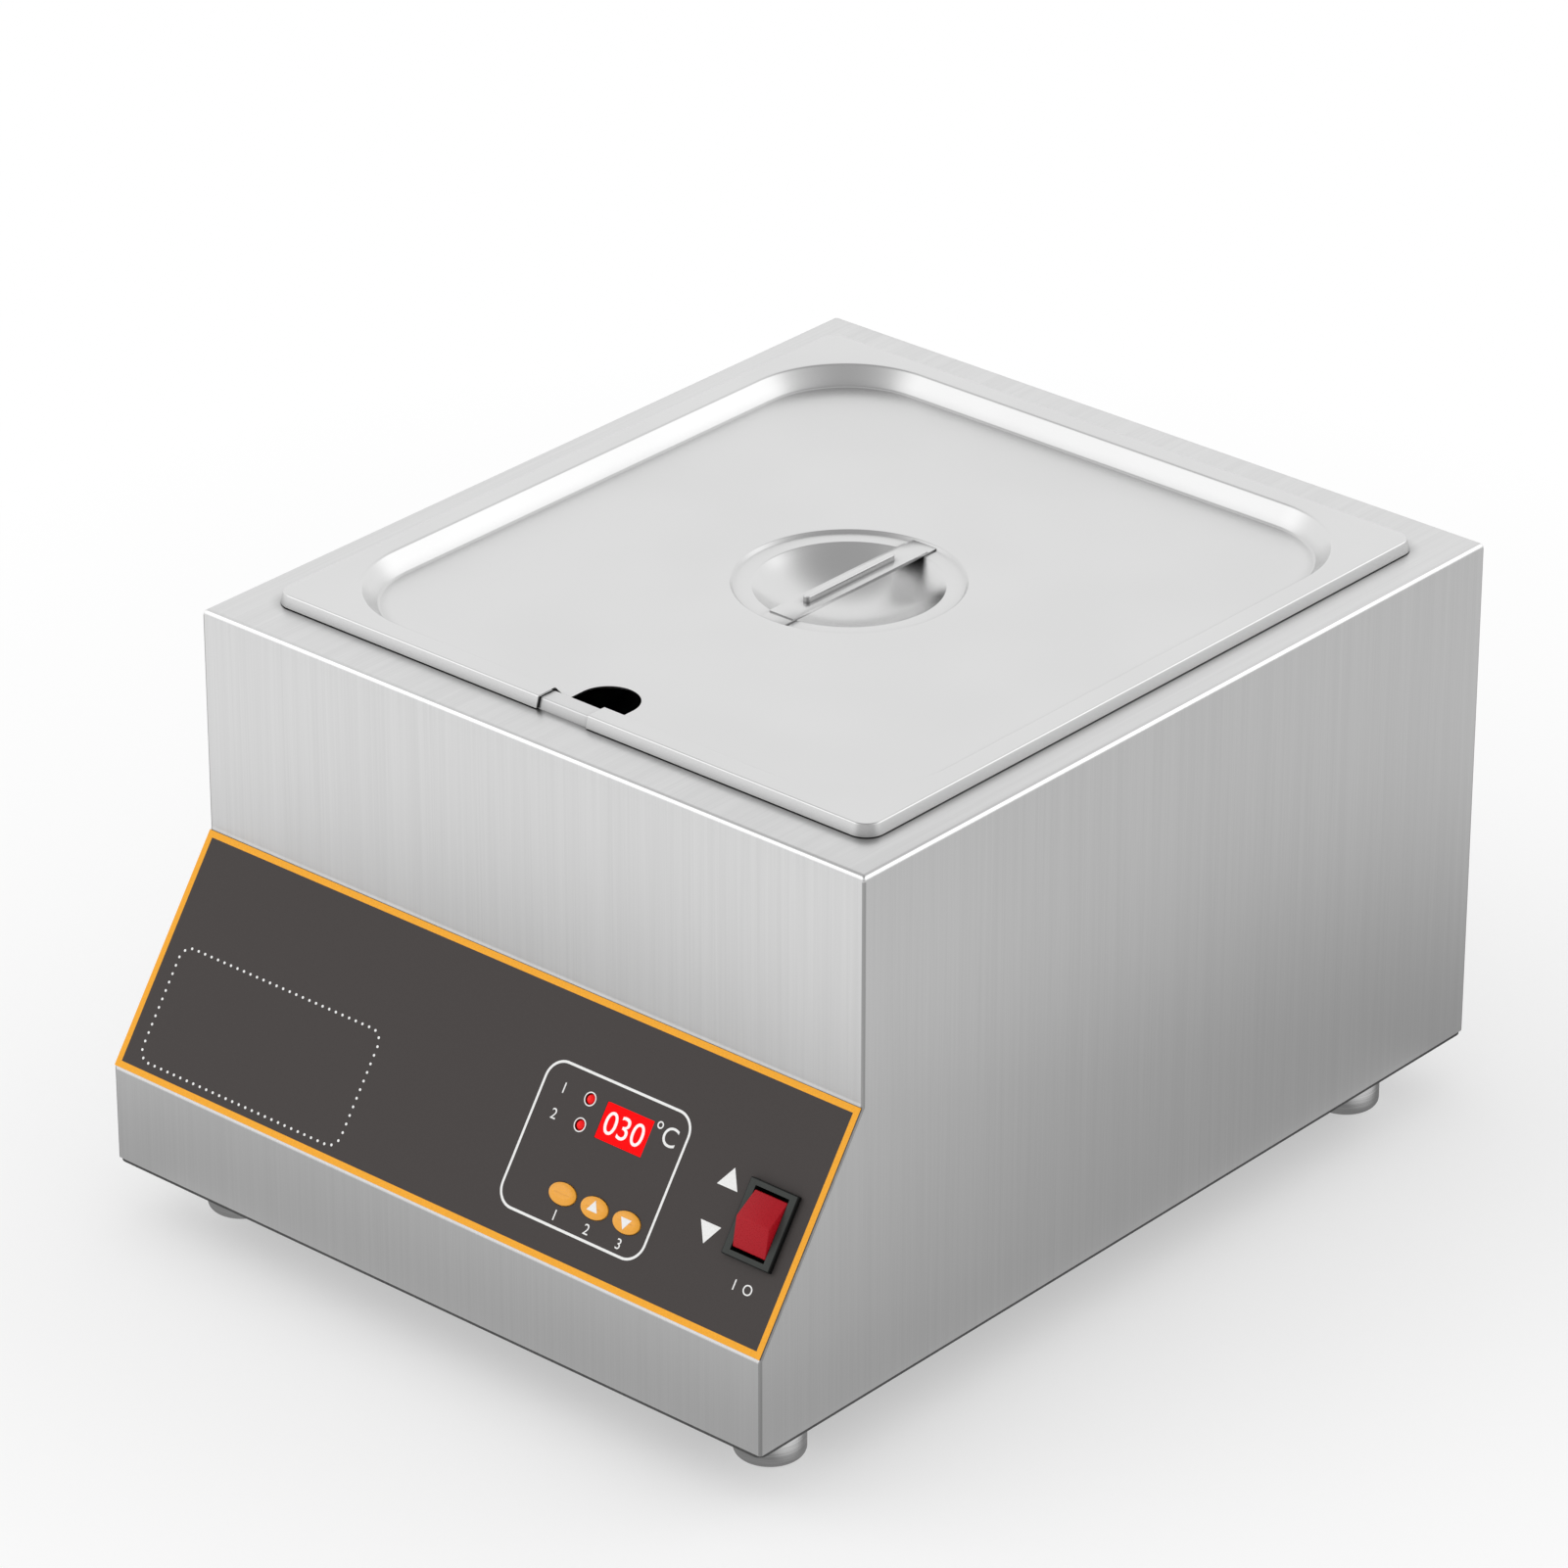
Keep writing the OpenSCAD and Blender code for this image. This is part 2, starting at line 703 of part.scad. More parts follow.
module well_nuts() {
  color(zinc) in_tank() for (at = well_stud_places())
    translate([at[0], at[1], well_top_z - well_t - nut_h]) nut(nut_r, screw_r + pin_gap, nut_h);
}

// Inside of the pan, or its outside if it is grown by the sheet
module pan_form(grow) {
  out = grow * recess_spread;
  depth = pan_depth - pan_t + grow;
  wall_slope = tan(wall_draft);
  wall_out = wall_slope * shoulder_h + grow - wall_inset;
  wall_w = mouth_w + 2 * wall_out;
  wall_d = mouth_d + 2 * wall_out;
  wall_r = mouth_r + wall_out;
  bevel_slope = floor_bevel_run / floor_bevel_h;
  bevel_rise = (bevel_slope - wall_slope) * (depth - floor_bevel_h);
  translate([0, deck_mid_y, pan_z]) {
    tapered_block(mouth_w + 2 * out, mouth_d + 2 * out, mouth_r + out, shoulder_h, recess_slope * shoulder_h);
    intersection() {
      tapered_block(wall_w, wall_d, wall_r, depth, wall_slope * depth);
      tapered_block(
        wall_w + 2 * bevel_rise, wall_d + 2 * bevel_rise, wall_r + bevel_rise, depth, bevel_slope * depth
      );
    }
  }
}

module pan() {
  color(bright_steel) in_tank() difference() {
    union() {
      translate([0, deck_mid_y, casing_h]) difference() {
        rolled_block(pan_w, pan_d, pan_corner_r, pan_rise, pan_rim_r);
        translate([0, 0, -overrun])
          rolled_block(
            pan_w - 2 * pan_t, pan_d - 2 * pan_t, pan_corner_r - pan_t,
            pan_rise - pan_t + overrun, pan_rim_r - pan_t
          );
      }
      pan_form(pan_t);
    }
    pan_form(0);
  }
}

// Inside of the lid's recess, or its underside if it is grown by the sheet
module recess_form(grow) {
  out = grow * recess_spread;
  translate([0, deck_mid_y, lid_z])
    tapered_block(
      recess_w + 2 * out, recess_d + 2 * out, lid_recess_r + out, lid_recess_d + grow,
      recess_slope * (lid_recess_d + grow)
    );
}

// Inside of the finger dish, or its underside if it is grown by the sheet
module dish_form(grow) {
  translate([0, deck_mid_y, ring_z]) {
    translate([0, 0, -grow]) cylinder(h = ring_step + grow, r = ring_dia / 2 + grow);
    intersection() {
      translate([0, 0, dish_sphere_r - dish_depth]) rotate([90, 0, 0]) sphere(dish_sphere_r + grow);
      translate([0, 0, -dish_depth - 2 * lid_t]) cylinder(h = dish_depth + 2 * lid_t, r = ring_dia / 2);
    }
  }
}

module notch_cut() {
  cut_h = 2 * lid_recess_d + lid_rim_h;
  translate([0, deck_mid_y - lid_d / 2, plate_z - lid_recess_d]) {
    translate([-notch_w / 2, -overrun, 0]) cube([notch_w, notch_reach + overrun, cut_h]);
    translate([0, notch_reach, 0]) cylinder(h = cut_h, r = notch_w / 2);
  }
}

module lid() {
  color(bright_steel) in_tank() difference() {
    union() {
      translate([0, deck_mid_y, lid_skirt_z]) difference() {
        rolled_block(lid_w, lid_d, lid_corner_r, lid_rim_h, lid_rim_r);
        translate([0, 0, -overrun])
          rolled_block(
            lid_w - 2 * lid_t, lid_d - 2 * lid_t, lid_corner_r - lid_t,
            lid_rim_h - lid_t + overrun, lid_rim_r - lid_t
          );
      }
      recess_form(lid_t);
      dish_form(lid_t);
    }
    recess_form(0);
    dish_form(0);
    notch_cut();
  }
}

module lid_handle() {
  color(bright_steel) in_tank() translate([0, deck_mid_y, ring_z]) {
    translate([-strap_w / 2, -strap_len / 2, 0]) cube([strap_w, strap_len, ring_step]);
    translate([0, 0, ring_step]) rotate([90, 0, 0]) linear_extrude(rib_len, center = true) {
      translate([-rib_w / 2, 0]) square([rib_w, rib_h - rib_w / 2]);
      translate([0, rib_h - rib_w / 2]) intersection() {
        circle(rib_w / 2);
        translate([-rib_w / 2, 0]) square([rib_w, rib_w / 2]);
      }
    }
  }
}

module base_heater() {
  color(silicone) in_tank()
    translate([-base_heater_w / 2, deck_mid_y - base_heater_d / 2, well_under_z - heater_t])
      cube([base_heater_w, base_heater_d, heater_t]);
}

module heater_clamp_plate() {
  w = base_heater_w + 2 * clamp_margin;
  d = base_heater_d + 2 * clamp_margin;
  color(zinc) in_tank() difference() {
    translate([-w / 2, deck_mid_y - d / 2, well_under_z - heater_t - clamp_t]) cube([w, d, clamp_t]);
    for (at = clamp_stud_places()) translate([at[0], at[1], well_under_z - heater_t - clamp_t - overrun])
      cylinder(h = clamp_t + 2 * overrun, r = screw_r + screw_gap);
  }
}

module heater_nuts() {
  color(zinc) in_tank() for (at = clamp_stud_places())
    translate([at[0], at[1], well_under_z - heater_t - clamp_t - nut_h]) nut(nut_r, screw_r + pin_gap, nut_h);
}

module side_heater(sx) {
  x = sx < 0 ? -well_w / 2 - heater_t : well_w / 2;
  color(silicone) in_tank()
    translate([x, deck_mid_y - side_heater_len / 2, well_top_z - side_heater_drop - side_heater_h])
      cube([heater_t, side_heater_len, side_heater_h]);
}

module side_insulation(sx) {
  x = sx < 0 ? -well_w / 2 - heater_t - side_board_t : well_w / 2 + heater_t;
  color(wool) in_tank()
    translate([x, deck_mid_y - side_board_len / 2, well_top_z - wool_drop - wool_h])
      cube([side_board_t, side_board_len, wool_h]);
}

module end_insulation(sy) {
  y = sy < 0 ? deck_mid_y - well_d / 2 - end_board_t : deck_mid_y + well_d / 2;
  color(wool) in_tank()
    translate([-end_board_w / 2, y, well_top_z - wool_drop - wool_h])
      cube([end_board_w, end_board_t, wool_h]);
}

module temperature_probe() {
  color(bright_steel) in_tank() translate([probe_x - probe_len / 2, sensor_y, well_under_z - probe_r])
    rotate([0, 90, 0]) cylinder(h = probe_len, r = probe_r);
}

// A bent strip that holds the probe against the floor of the well
module probe_clip() {
  r = probe_r + pin_gap;
  color(zinc) in_tank() translate([probe_x - clip_len / 2, sensor_y, well_under_z]) difference() {
    union() {
      translate([0, 0, -probe_r]) rotate([0, 90, 0]) cylinder(h = clip_len, r = r + clip_t);
      translate([0, -r - clip_t - clip_ear, -clip_t]) cube([clip_len, 2 * (r + clip_t) + clip_ear, clip_t]);
    }
    translate([-overrun, 0, -probe_r]) rotate([0, 90, 0]) cylinder(h = clip_len + 2 * overrun, r = r);
    translate([-overrun, -r, -probe_r]) cube([clip_len + 2 * overrun, 2 * r, probe_r + overrun]);
    translate([-overrun, -r - clip_t, 0]) cube([clip_len + 2 * overrun, 2 * (r + clip_t), probe_r]);
    translate([clip_len / 2, -r - clip_t - clip_ear / 2, -clip_t - overrun])
      cylinder(h = clip_t + 2 * overrun, r = sensor_screw_r + screw_gap);
  }
}

module overheat_cutout() {
  color(black) in_tank() translate([cutout_x, sensor_y, well_under_z - cutout_h]) difference() {
    union() {
      cylinder(h = cutout_h, r = cutout_r);
      translate([-ear_reach, -ear_r, cutout_h - ear_t]) cube([2 * ear_reach, 2 * ear_r, ear_t]);
    }
    for (sx = sides) translate([sx * (ear_reach + cutout_r) / 2, 0, cutout_h - ear_t - overrun])
      cylinder(h = ear_t + 2 * overrun, r = sensor_screw_r + screw_gap);
  }
}

// Small screws under the ears of the clip and the cut-out
module sensor_screws() {
  color(zinc) in_tank() {
    translate([probe_x, sensor_y - probe_r - pin_gap - clip_t - clip_ear / 2, well_under_z - clip_t])
      screw(sensor_screw_r, clip_t, sensor_screw_head_r, sensor_screw_head_h);
    for (sx = sides) translate([cutout_x + sx * (ear_reach + cutout_r) / 2, sensor_y, well_under_z - ear_t])
      screw(sensor_screw_r, ear_t, (ear_reach - cutout_r) / 2 - pin_gap, sensor_screw_head_h);
  }
}

module panel_overlay() {
  color(dark_film) on_panel() difference() {
    translate([-casing_w / 2 + overlay_margin, overlay_margin, film_gap])
      cube([casing_w - 2 * overlay_margin, panel_len - 2 * overlay_margin, overlay_t - film_gap]);
    panel_holes(overlay_t + overrun);
  }
}

module display_window() {
  w = window_w - fit_gap;
  h = window_h - fit_gap;
  color(red) on_panel(window_at) {
    translate([-w / 2, -h / 2, sheet_back]) cube([w, h, sheet_t + window_proud]);
    translate([-w / 2 - window_rim, -h / 2 - window_rim, sheet_back - window_rim_t])
      cube([w + 2 * window_rim, h + 2 * window_rim, window_rim_t]);
  }
}

module display_module() {
  h = board_gap - window_rim_t - module_gap;
  color(black) on_panel(window_at)
    translate([-window_w / 2 - window_rim, -window_h / 2 - window_rim, board_front])
      cube([window_w + 2 * window_rim, window_h + 2 * window_rim, h]);
}

// An indicator lamp on the board, whose round nose shows in the panel
module lamp(at) {
  r = lamp_dia / 2;
  nose_h = overlay_t + lamp_proud - r - board_front;
  color(red) on_panel(at) translate([0, 0, board_front]) rotate_extrude() {
    square([lamp_base_r, lamp_base_h]);
    square([r, nose_h]);
    translate([0, nose_h]) intersection() {
      circle(r);
      square([r, r - lamp_flat]);
    }
  }
}

module button(at) {
  flange_top = sheet_back - fit_gap;
  flange_low = flange_top - button_flange_t;
  stem_low = board_front + tact_h - stem_dip;
  color(orange) on_panel(at) {
    translate([0, 0, flange_top]) oval(button_w, button_h, overlay_t + button_proud - flange_top);
    translate([0, 0, flange_low])
      oval(button_w + 2 * button_flange, button_h + 2 * button_flange, button_flange_t);
    translate([0, 0, stem_low]) cylinder(h = flange_low - stem_low, r = stem_r);
  }
}

module tact_switch(at) {
  color(black) on_panel(at) translate([0, 0, board_front]) difference() {
    translate([-tact_w / 2, -tact_w / 2, 0]) cube([tact_w, tact_w, tact_h]);
    translate([0, 0, tact_h - tact_hole_d]) cylinder(h = tact_hole_d + overrun, r = stem_r + fit_gap);
  }
}

module control_board() {
  color(board_green) on_panel() difference() {
    translate([board_at[0] - board_w / 2, board_at[1] - board_h / 2, board_back])
      cube([board_w, board_h, board_t]);
    for (at = board_hole_places()) translate([at[0], at[1], board_back - overrun])
      cylinder(h = board_t + 2 * overrun, r = board_screw_r + screw_gap);
  }
}

module board_spacers() {
  color(brass) on_panel() for (at = board_hole_places()) translate([at[0], at[1], board_front]) difference() {
    cylinder(h = board_gap, r = spacer_r);
    translate([0, 0, -overrun]) cylinder(h = board_screw_len + overrun, r = board_screw_r + pin_gap);
  }
}

module board_screws() {
  color(zinc) on_panel() for (at = board_hole_places()) translate([at[0], at[1], board_back])
    screw(board_screw_r, board_screw_len, board_screw_head_r, board_screw_head_h);
}

// A part on the back of the control board
module on_board_back(at, size) {
  on_panel(at) translate([-size[0] / 2, -size[1] / 2, board_back - size[2]]) children();
}

module relay() {
  color([0.15, 0.35, 0.65]) on_board_back(relay_at, relay_size) cube(relay_size);
}

// A wound coil between the two halves of an iron core
module transformer() {
  coil_w = transformer_size[0] - lamination_t;
  coil_h = transformer_size[2] - lamination_t / 2;
  color(black) on_board_back(transformer_at, transformer_size) {
    translate([0, lamination_t, 0])
      cube([transformer_size[0], transformer_size[1] - 2 * lamination_t, transformer_size[2]]);
    translate([lamination_t / 2, 0, lamination_t / 2]) cube([coil_w, transformer_size[1], coil_h]);
  }
}

module terminal_block() {
  pitch = block_size[0] / block_ways;
  color([0.20, 0.45, 0.25]) on_board_back(block_at, block_size) difference() {
    cube(block_size);
    for (i = [0 : block_ways - 1]) translate([(i + 1 / 2) * pitch, block_size[1] / 2, -overrun])
      cylinder(h = block_screw_d + overrun, r = block_screw_r);
  }
}

module switch_housing() {
  room_w = rocker_w + 2 * fit_gap;
  room_h = switch_body_h - 2 * switch_end_wall;
  top = overlay_t + bezel_proud;
  color(black) on_panel(switch_at) difference() {
    union() {
      translate([-bezel_w / 2, -bezel_h / 2, overlay_t]) cube([bezel_w, bezel_h, bezel_proud]);
      translate([-switch_body_w / 2, -switch_body_h / 2, -switch_body_d])
        cube([switch_body_w, switch_body_h, switch_body_d + overlay_t]);
    }
    translate([-room_w / 2, -room_h / 2, rocker_room_low])
      cube([room_w, room_h, top - rocker_room_low + overrun]);
    translate([-switch_body_w / 2 - overrun, 0, -rocker_pivot_drop]) rotate([0, 90, 0])
      cylinder(h = switch_body_w + 2 * overrun, r = rocker_pin_r + pin_gap);
  }
}

module switch_rocker() {
  half = rocker_len / 2;
  color(red) on_panel(switch_at) {
    rotate([90, 0, 90]) linear_extrude(rocker_w, center = true) polygon([
      [-half, rocker_end_top], [-half, -rocker_end_drop], [-rocker_heel, -rocker_heel_drop],
      [rocker_heel, -rocker_heel_drop], [half, -rocker_end_drop], [half, rocker_end_top],
      [0, rocker_end_top + rocker_ridge_h]
    ]);
    translate([-rocker_w / 2 - rocker_pin_len, 0, -rocker_pivot_drop]) rotate([0, 90, 0])
      cylinder(h = rocker_w + 2 * rocker_pin_len, r = rocker_pin_r);
  }
}

function blade_places() = [for (sy = sides) [switch_at[0], switch_at[1] + sy * switch_body_h * blade_share]];

module switch_terminals() {
  color(brass) on_panel() for (at = blade_places())
    translate([at[0] - blade_w / 2, at[1] - blade_t / 2, -switch_body_d - blade_len])
      cube([blade_w, blade_t, blade_len]);
}

// The gland's frame: its axis runs out of the rear wall along z
module on_gland() {
  in_tank() translate([gland_at[0], deck_d, gland_at[1]]) rotate([-90, 0, 0]) children();
}

module gland_body() {
  low = -sheet_t - gland_inside_len;
  high = gland_hex_t + gland_cap_len / 2;
  color(black) on_gland() difference() {
    union() {
      translate([0, 0, low]) cylinder(h = high - low, r = gland_thread_r);
      cylinder(h = gland_hex_t, r = gland_hex_w / sqrt(3), $fn = 6);
    }
    translate([0, 0, low - overrun]) cylinder(h = high - low + 2 * overrun, r = gland_seal_r);
  }
}

// A rubber sleeve that grips the cord
module gland_seal() {
  low = gland_hex_t + gland_cap_len / 2 - gland_seal_len;
  color([0.2, 0.2, 0.2]) on_gland() translate([0, 0, low]) difference() {
    cylinder(h = gland_seal_len, r = gland_seal_r);
    translate([0, 0, -overrun]) cylinder(h = gland_seal_len + 2 * overrun, r = cord_r);
  }
}

module gland_cap() {
  hole_r = cord_r + gland_bore_gap;
  color(black) on_gland() translate([0, 0, gland_hex_t]) difference() {
    union() {
      cylinder(h = gland_cap_len - gland_cap_edge, r = gland_cap_r);
      translate([0, 0, gland_cap_len - gland_cap_edge])
        cylinder(h = gland_cap_edge, r1 = gland_cap_r, r2 = gland_cap_r - gland_cap_edge);
    }
    translate([0, 0, -overrun]) cylinder(h = gland_cap_len + 2 * overrun, r = hole_r);
    translate([0, 0, -overrun])
      cylinder(h = gland_cap_len / 2 + gland_cap_gap + overrun, r = gland_thread_r + gland_cap_gap);
  }
}

module gland_lock_nut() {
  color(black) on_gland() translate([0, 0, -sheet_t - gland_lock_t])
    nut(gland_hex_w / sqrt(3), gland_thread_r + pin_gap, gland_lock_t);
}

module earth_bolt() {
  color(brass) in_tank() translate([earth_at[0], earth_at[1], 0]) {
    cylinder(h = earth_len, r = earth_r);
    translate([0, 0, -earth_head_h]) cylinder(h = earth_head_h, r = earth_head_r, $fn = 6);
  }
}

module earth_nut() {
  color(brass) in_tank() translate([earth_at[0], earth_at[1], base_t])
    nut(earth_head_r, earth_r + pin_gap, earth_head_h);
}

// A way into the terminal block from below, with the last stretch square to its face
function block_way(i) = let (
  x = block_at[0] + (i + 1 / 2 - block_ways / 2) * block_size[0] / block_ways,
  up = block_at[1] - block_size[1] / 2,
  out = board_back - block_size[2] / 2
) [panel_point(x, up - 2 * lead_step, out), panel_point(x, up, out)];

module switch_leads() {
  tip = -switch_body_d - blade_len;
  color([0.55, 0.10, 0.10]) in_tank() for (i = [0, 1]) {
    at = blade_places()[i];
    back = tip - (i + 1) * lead_step;
    way = block_way(block_ways - 1 - i);
    lead(concat(
      [panel_point(at[0], at[1], tip), panel_point(at[0], at[1], back)],
      [way[0] + [0, lead_step, -lead_step] * (i + 1), way[0], way[1]]
    ));
  }
}

module heater_leads() {
  color([0.9, 0.9, 0.88]) in_tank() for (i = [0, 1]) {
    way = block_way(i + 2);
    start = [way[0][0], deck_mid_y - base_heater_d / 2, well_under_z - heater_t / 2];
    lead([
      start, start - [0, clamp_margin + lead_step / 2, 0],
      start - [0, clamp_margin + 2 * lead_step, 5 * lead_step],
      way[0] + [0, 2 * lead_step, 0], way[0], way[1]
    ]);
  }
}

module probe_lead() {
  way = block_way(1);
  start = [probe_x + probe_len / 2, sensor_y, well_under_z - probe_r];
  color([0.25, 0.25, 0.27]) in_tank() lead([
    start, start + [lead_step, 0, 0], start + [2 * lead_step, -lead_step, -3 * lead_step],
    way[0] + [0, 4 * lead_step, lead_step], way[0], way[1]
  ]);
}

module cutout_leads() {
  way = block_way(0);
  start = [cutout_x, sensor_y, well_under_z - cutout_h];
  color([0.85, 0.75, 0.30]) in_tank() lead([
    start, start - [0, 0, lead_step], start - [lead_step, lead_step, 2 * lead_step],
    way[0] + [0, 3 * lead_step, -lead_step / 2], way[0], way[1]
  ]);
}

casing();
base_plate();
base_screws();
foot(-1, -1);  // foot_front_left
foot(1, -1);  // foot_front_right
foot(-1, 1);  // foot_rear_left
foot(1, 1);  // foot_rear_right
foot_screws();
heating_well();
well_nuts();
pan();
lid();
lid_handle();
base_heater();
heater_clamp_plate();
heater_nuts();
side_heater(-1);  // side_heater_left
side_heater(1);  // side_heater_right
side_insulation(-1);  // insulation_left
side_insulation(1);  // insulation_right
end_insulation(-1);  // insulation_front
end_insulation(1);  // insulation_rear
temperature_probe();
probe_clip();
overheat_cutout();
sensor_screws();
panel_overlay();
display_window();
display_module();
lamp(heating_lamp_at);  // heating_lamp
lamp(holding_lamp_at);  // holding_lamp
button(button_set_at);  // button_set
button(button_up_at);  // button_up
button(button_down_at);  // button_down
tact_switch(button_set_at);  // tact_switch_set
tact_switch(button_up_at);  // tact_switch_up
tact_switch(button_down_at);  // tact_switch_down
control_board();
board_spacers();
board_screws();
relay();
transformer();
terminal_block();
switch_housing();
switch_rocker();
switch_terminals();
gland_body();
gland_seal();
gland_cap();
gland_lock_nut();
earth_bolt();
earth_nut();
switch_leads();
heater_leads();
probe_lead();
cutout_leads();
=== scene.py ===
# %% [markdown]
# # A chocolate melting tank
# A steel box on four feet holds a heated well, a lift-out pan and a pressed lid. A sloped panel in
# front carries the keys, the display and the switch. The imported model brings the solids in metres,
# and this lesson dresses them: sheet metal gets its folds, and the panel gets its print.

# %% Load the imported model
import math

import bmesh
import bpy
from mathutils import Matrix, Vector


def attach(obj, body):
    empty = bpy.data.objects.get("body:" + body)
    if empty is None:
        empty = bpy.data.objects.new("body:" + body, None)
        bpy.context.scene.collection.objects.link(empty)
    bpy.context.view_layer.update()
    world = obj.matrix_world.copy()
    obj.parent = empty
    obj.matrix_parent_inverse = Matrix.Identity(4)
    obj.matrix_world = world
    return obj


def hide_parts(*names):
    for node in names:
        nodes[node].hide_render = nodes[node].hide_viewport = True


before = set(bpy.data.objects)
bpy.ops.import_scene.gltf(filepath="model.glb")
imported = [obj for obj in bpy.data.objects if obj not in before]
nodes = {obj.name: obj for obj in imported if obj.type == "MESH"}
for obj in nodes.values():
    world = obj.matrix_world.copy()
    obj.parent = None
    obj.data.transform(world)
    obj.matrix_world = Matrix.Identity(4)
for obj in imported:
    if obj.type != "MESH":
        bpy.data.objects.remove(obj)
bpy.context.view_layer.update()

scene = bpy.context.scene
MM = 0.001

# %% [markdown]
# ## The camera
# The photograph was taken from the right, a little above the tank, through a long lens. A camera could
# be aimed by eye. Its angle and focal length were found from the corners of the casing instead, so
# that the render and the photograph can be laid over each other.

# %% Camera
PHOTO_PIXELS = 1601
FOCAL_PIXELS = 7836.1
SENSOR = 36.0
AZIMUTH = math.radians(41.18)
ELEVATION = math.radians(27.17)
EYE = Vector((1.8765, -2.1652, 1.6441))
towards_eye = Vector((
    math.sin(AZIMUTH) * math.cos(ELEVATION),
    -math.cos(AZIMUTH) * math.cos(ELEVATION),
    math.sin(ELEVATION),
))
bpy.ops.object.select_all(action="DESELECT")
bpy.ops.object.camera_add(location=EYE, rotation=towards_eye.to_track_quat("Z", "Y").to_euler())
camera = bpy.context.object
camera.name = "camera"
camera.data.sensor_width = SENSOR
camera.data.lens = FOCAL_PIXELS / PHOTO_PIXELS * SENSOR
camera.data.clip_end = 50
scene.camera = camera
scene.view_settings.view_transform = "Standard"
print("lens", round(camera.data.lens, 1))

# %% [markdown]
# ## Small helpers for nodes
# Each finish is a few nodes around one Principled shader. They could be placed by hand in the shader
# editor. As short functions, the same steps serve every finish: add a node, set its inputs, link it.

# %% Node helpers
def new_finish(name, color, metallic, roughness):
    """A material with one Principled shader, whose constant values sit on its own sockets."""
    finish = bpy.data.materials.new(name)
    finish.use_nodes = True
    shader = finish.node_tree.nodes["Principled BSDF"]
    shader.inputs["Base Color"].default_value = (*color, 1)
    shader.inputs["Metallic"].default_value = metallic
    shader.inputs["Roughness"].default_value = roughness
    return finish, finish.node_tree, shader


def add_node(tree, kind, **values):
    """Adds a node and sets its properties, or its inputs where the name is one of theirs."""
    made = tree.nodes.new(kind)
    for key, value in values.items():
        if key in made.inputs:
            made.inputs[key].default_value = value
        else:
            setattr(made, key, value)
    return made


def calculated(tree, operation, *values):
    """One step of arithmetic on outputs or plain numbers."""
    made = add_node(tree, "ShaderNodeMath", operation=operation)
    for socket, value in zip(made.inputs, values):
        if isinstance(value, (int, float)):
            socket.default_value = value
        else:
            tree.links.new(value, socket)
    return made.outputs["Value"]


def mapped(tree, value, from_range, to_range, smooth_step=True):
    """Maps a value from one range to another, and holds it at the ends."""
    made = add_node(tree, "ShaderNodeMapRange")
    made.interpolation_type = "SMOOTHSTEP" if smooth_step else "LINEAR"
    made.inputs["From Min"].default_value = from_range[0]
    made.inputs["From Max"].default_value = from_range[1]
    made.inputs["To Min"].default_value = to_range[0]
    made.inputs["To Max"].default_value = to_range[1]
    tree.links.new(value, made.inputs["Value"])
    return made.outputs["Result"]


print("node helpers ready")

# %% [markdown]
# Noise gives a finish its grain. Most of its values lie in the middle of its scale, so that range is
# what the helpers spread over a colour or a roughness. A faint relief from the same noise lets the
# grain catch the light, where a flat colour would look painted on.

# %% Grain helpers
NOISE_RANGE = (0.3, 0.7)
RELIEF_DEPTH = 0.1 * MM


def noise_on(tree, vector, scale, detail):
    """Noise that reads a vector output."""
    made = add_node(tree, "ShaderNodeTexNoise", Scale=scale, Detail=detail)
    tree.links.new(vector, made.inputs["Vector"])
    return made.outputs["Fac"]


def ramp(tree, factor, low_color, high_color):
    """A soft ramp between two colours, over the range of the noise."""
    made = tree.nodes.new("ShaderNodeValToRGB")
    made.color_ramp.interpolation = "EASE"
    for stop, position, color in zip(made.color_ramp.elements, NOISE_RANGE, (low_color, high_color)):
        stop.position = position
        stop.color = (*color, 1)
    tree.links.new(factor, made.inputs["Fac"])
    return made.outputs["Color"]


def bump(tree, shader, height, strength):
    """Small relief from a height."""
    made = add_node(tree, "ShaderNodeBump", Strength=strength, Distance=RELIEF_DEPTH)
    tree.links.new(height, made.inputs["Height"])
    tree.links.new(made.outputs["Normal"], shader.inputs["Normal"])


def tone(value, share, tint=(1, 1, 1)):
    """A grey, a share lighter or darker, that may be tinted."""
    return tuple(value * share * part for part in tint)


print("noise read from", NOISE_RANGE[0], "to", NOISE_RANGE[1])

# %% [markdown]
# ## Brushed sheet steel
# The casing is folded from sheet with a fine upright grain. Anisotropic reflection could hint at it.
# Noise that is stretched along one direction, fine across it and long along it, also shows the single
# scratches, so it is used here. On the deck and the underside the grain runs front to back instead: the
# surface's own normal picks between two stretched copies of the coordinates. The roughness varies
# very little, since a wide spread shows as hard lines in reflections.

# %% Brushed steel
ACROSS = 1500
ALONG = 14
STREAK_SCALE = 0.22
UPRIGHT_LIMIT = 0.8
ROUGHNESS_SPREAD = 0.012
# How far ambient occlusion reaches when it darkens a metal's colour: painted shade.
CREVICE_SHADE_REACH = 6 * MM


def darken_crevices(tree, shader, color):
    """Darkens a metal's colour near another piece: painted shade in creases, under rims and between parts.
    """
    made = add_node(tree, "ShaderNodeAmbientOcclusion", samples=6, Distance=CREVICE_SHADE_REACH)
    tree.links.new(color, made.inputs["Color"])
    tree.links.new(made.outputs["Color"], shader.inputs["Base Color"])


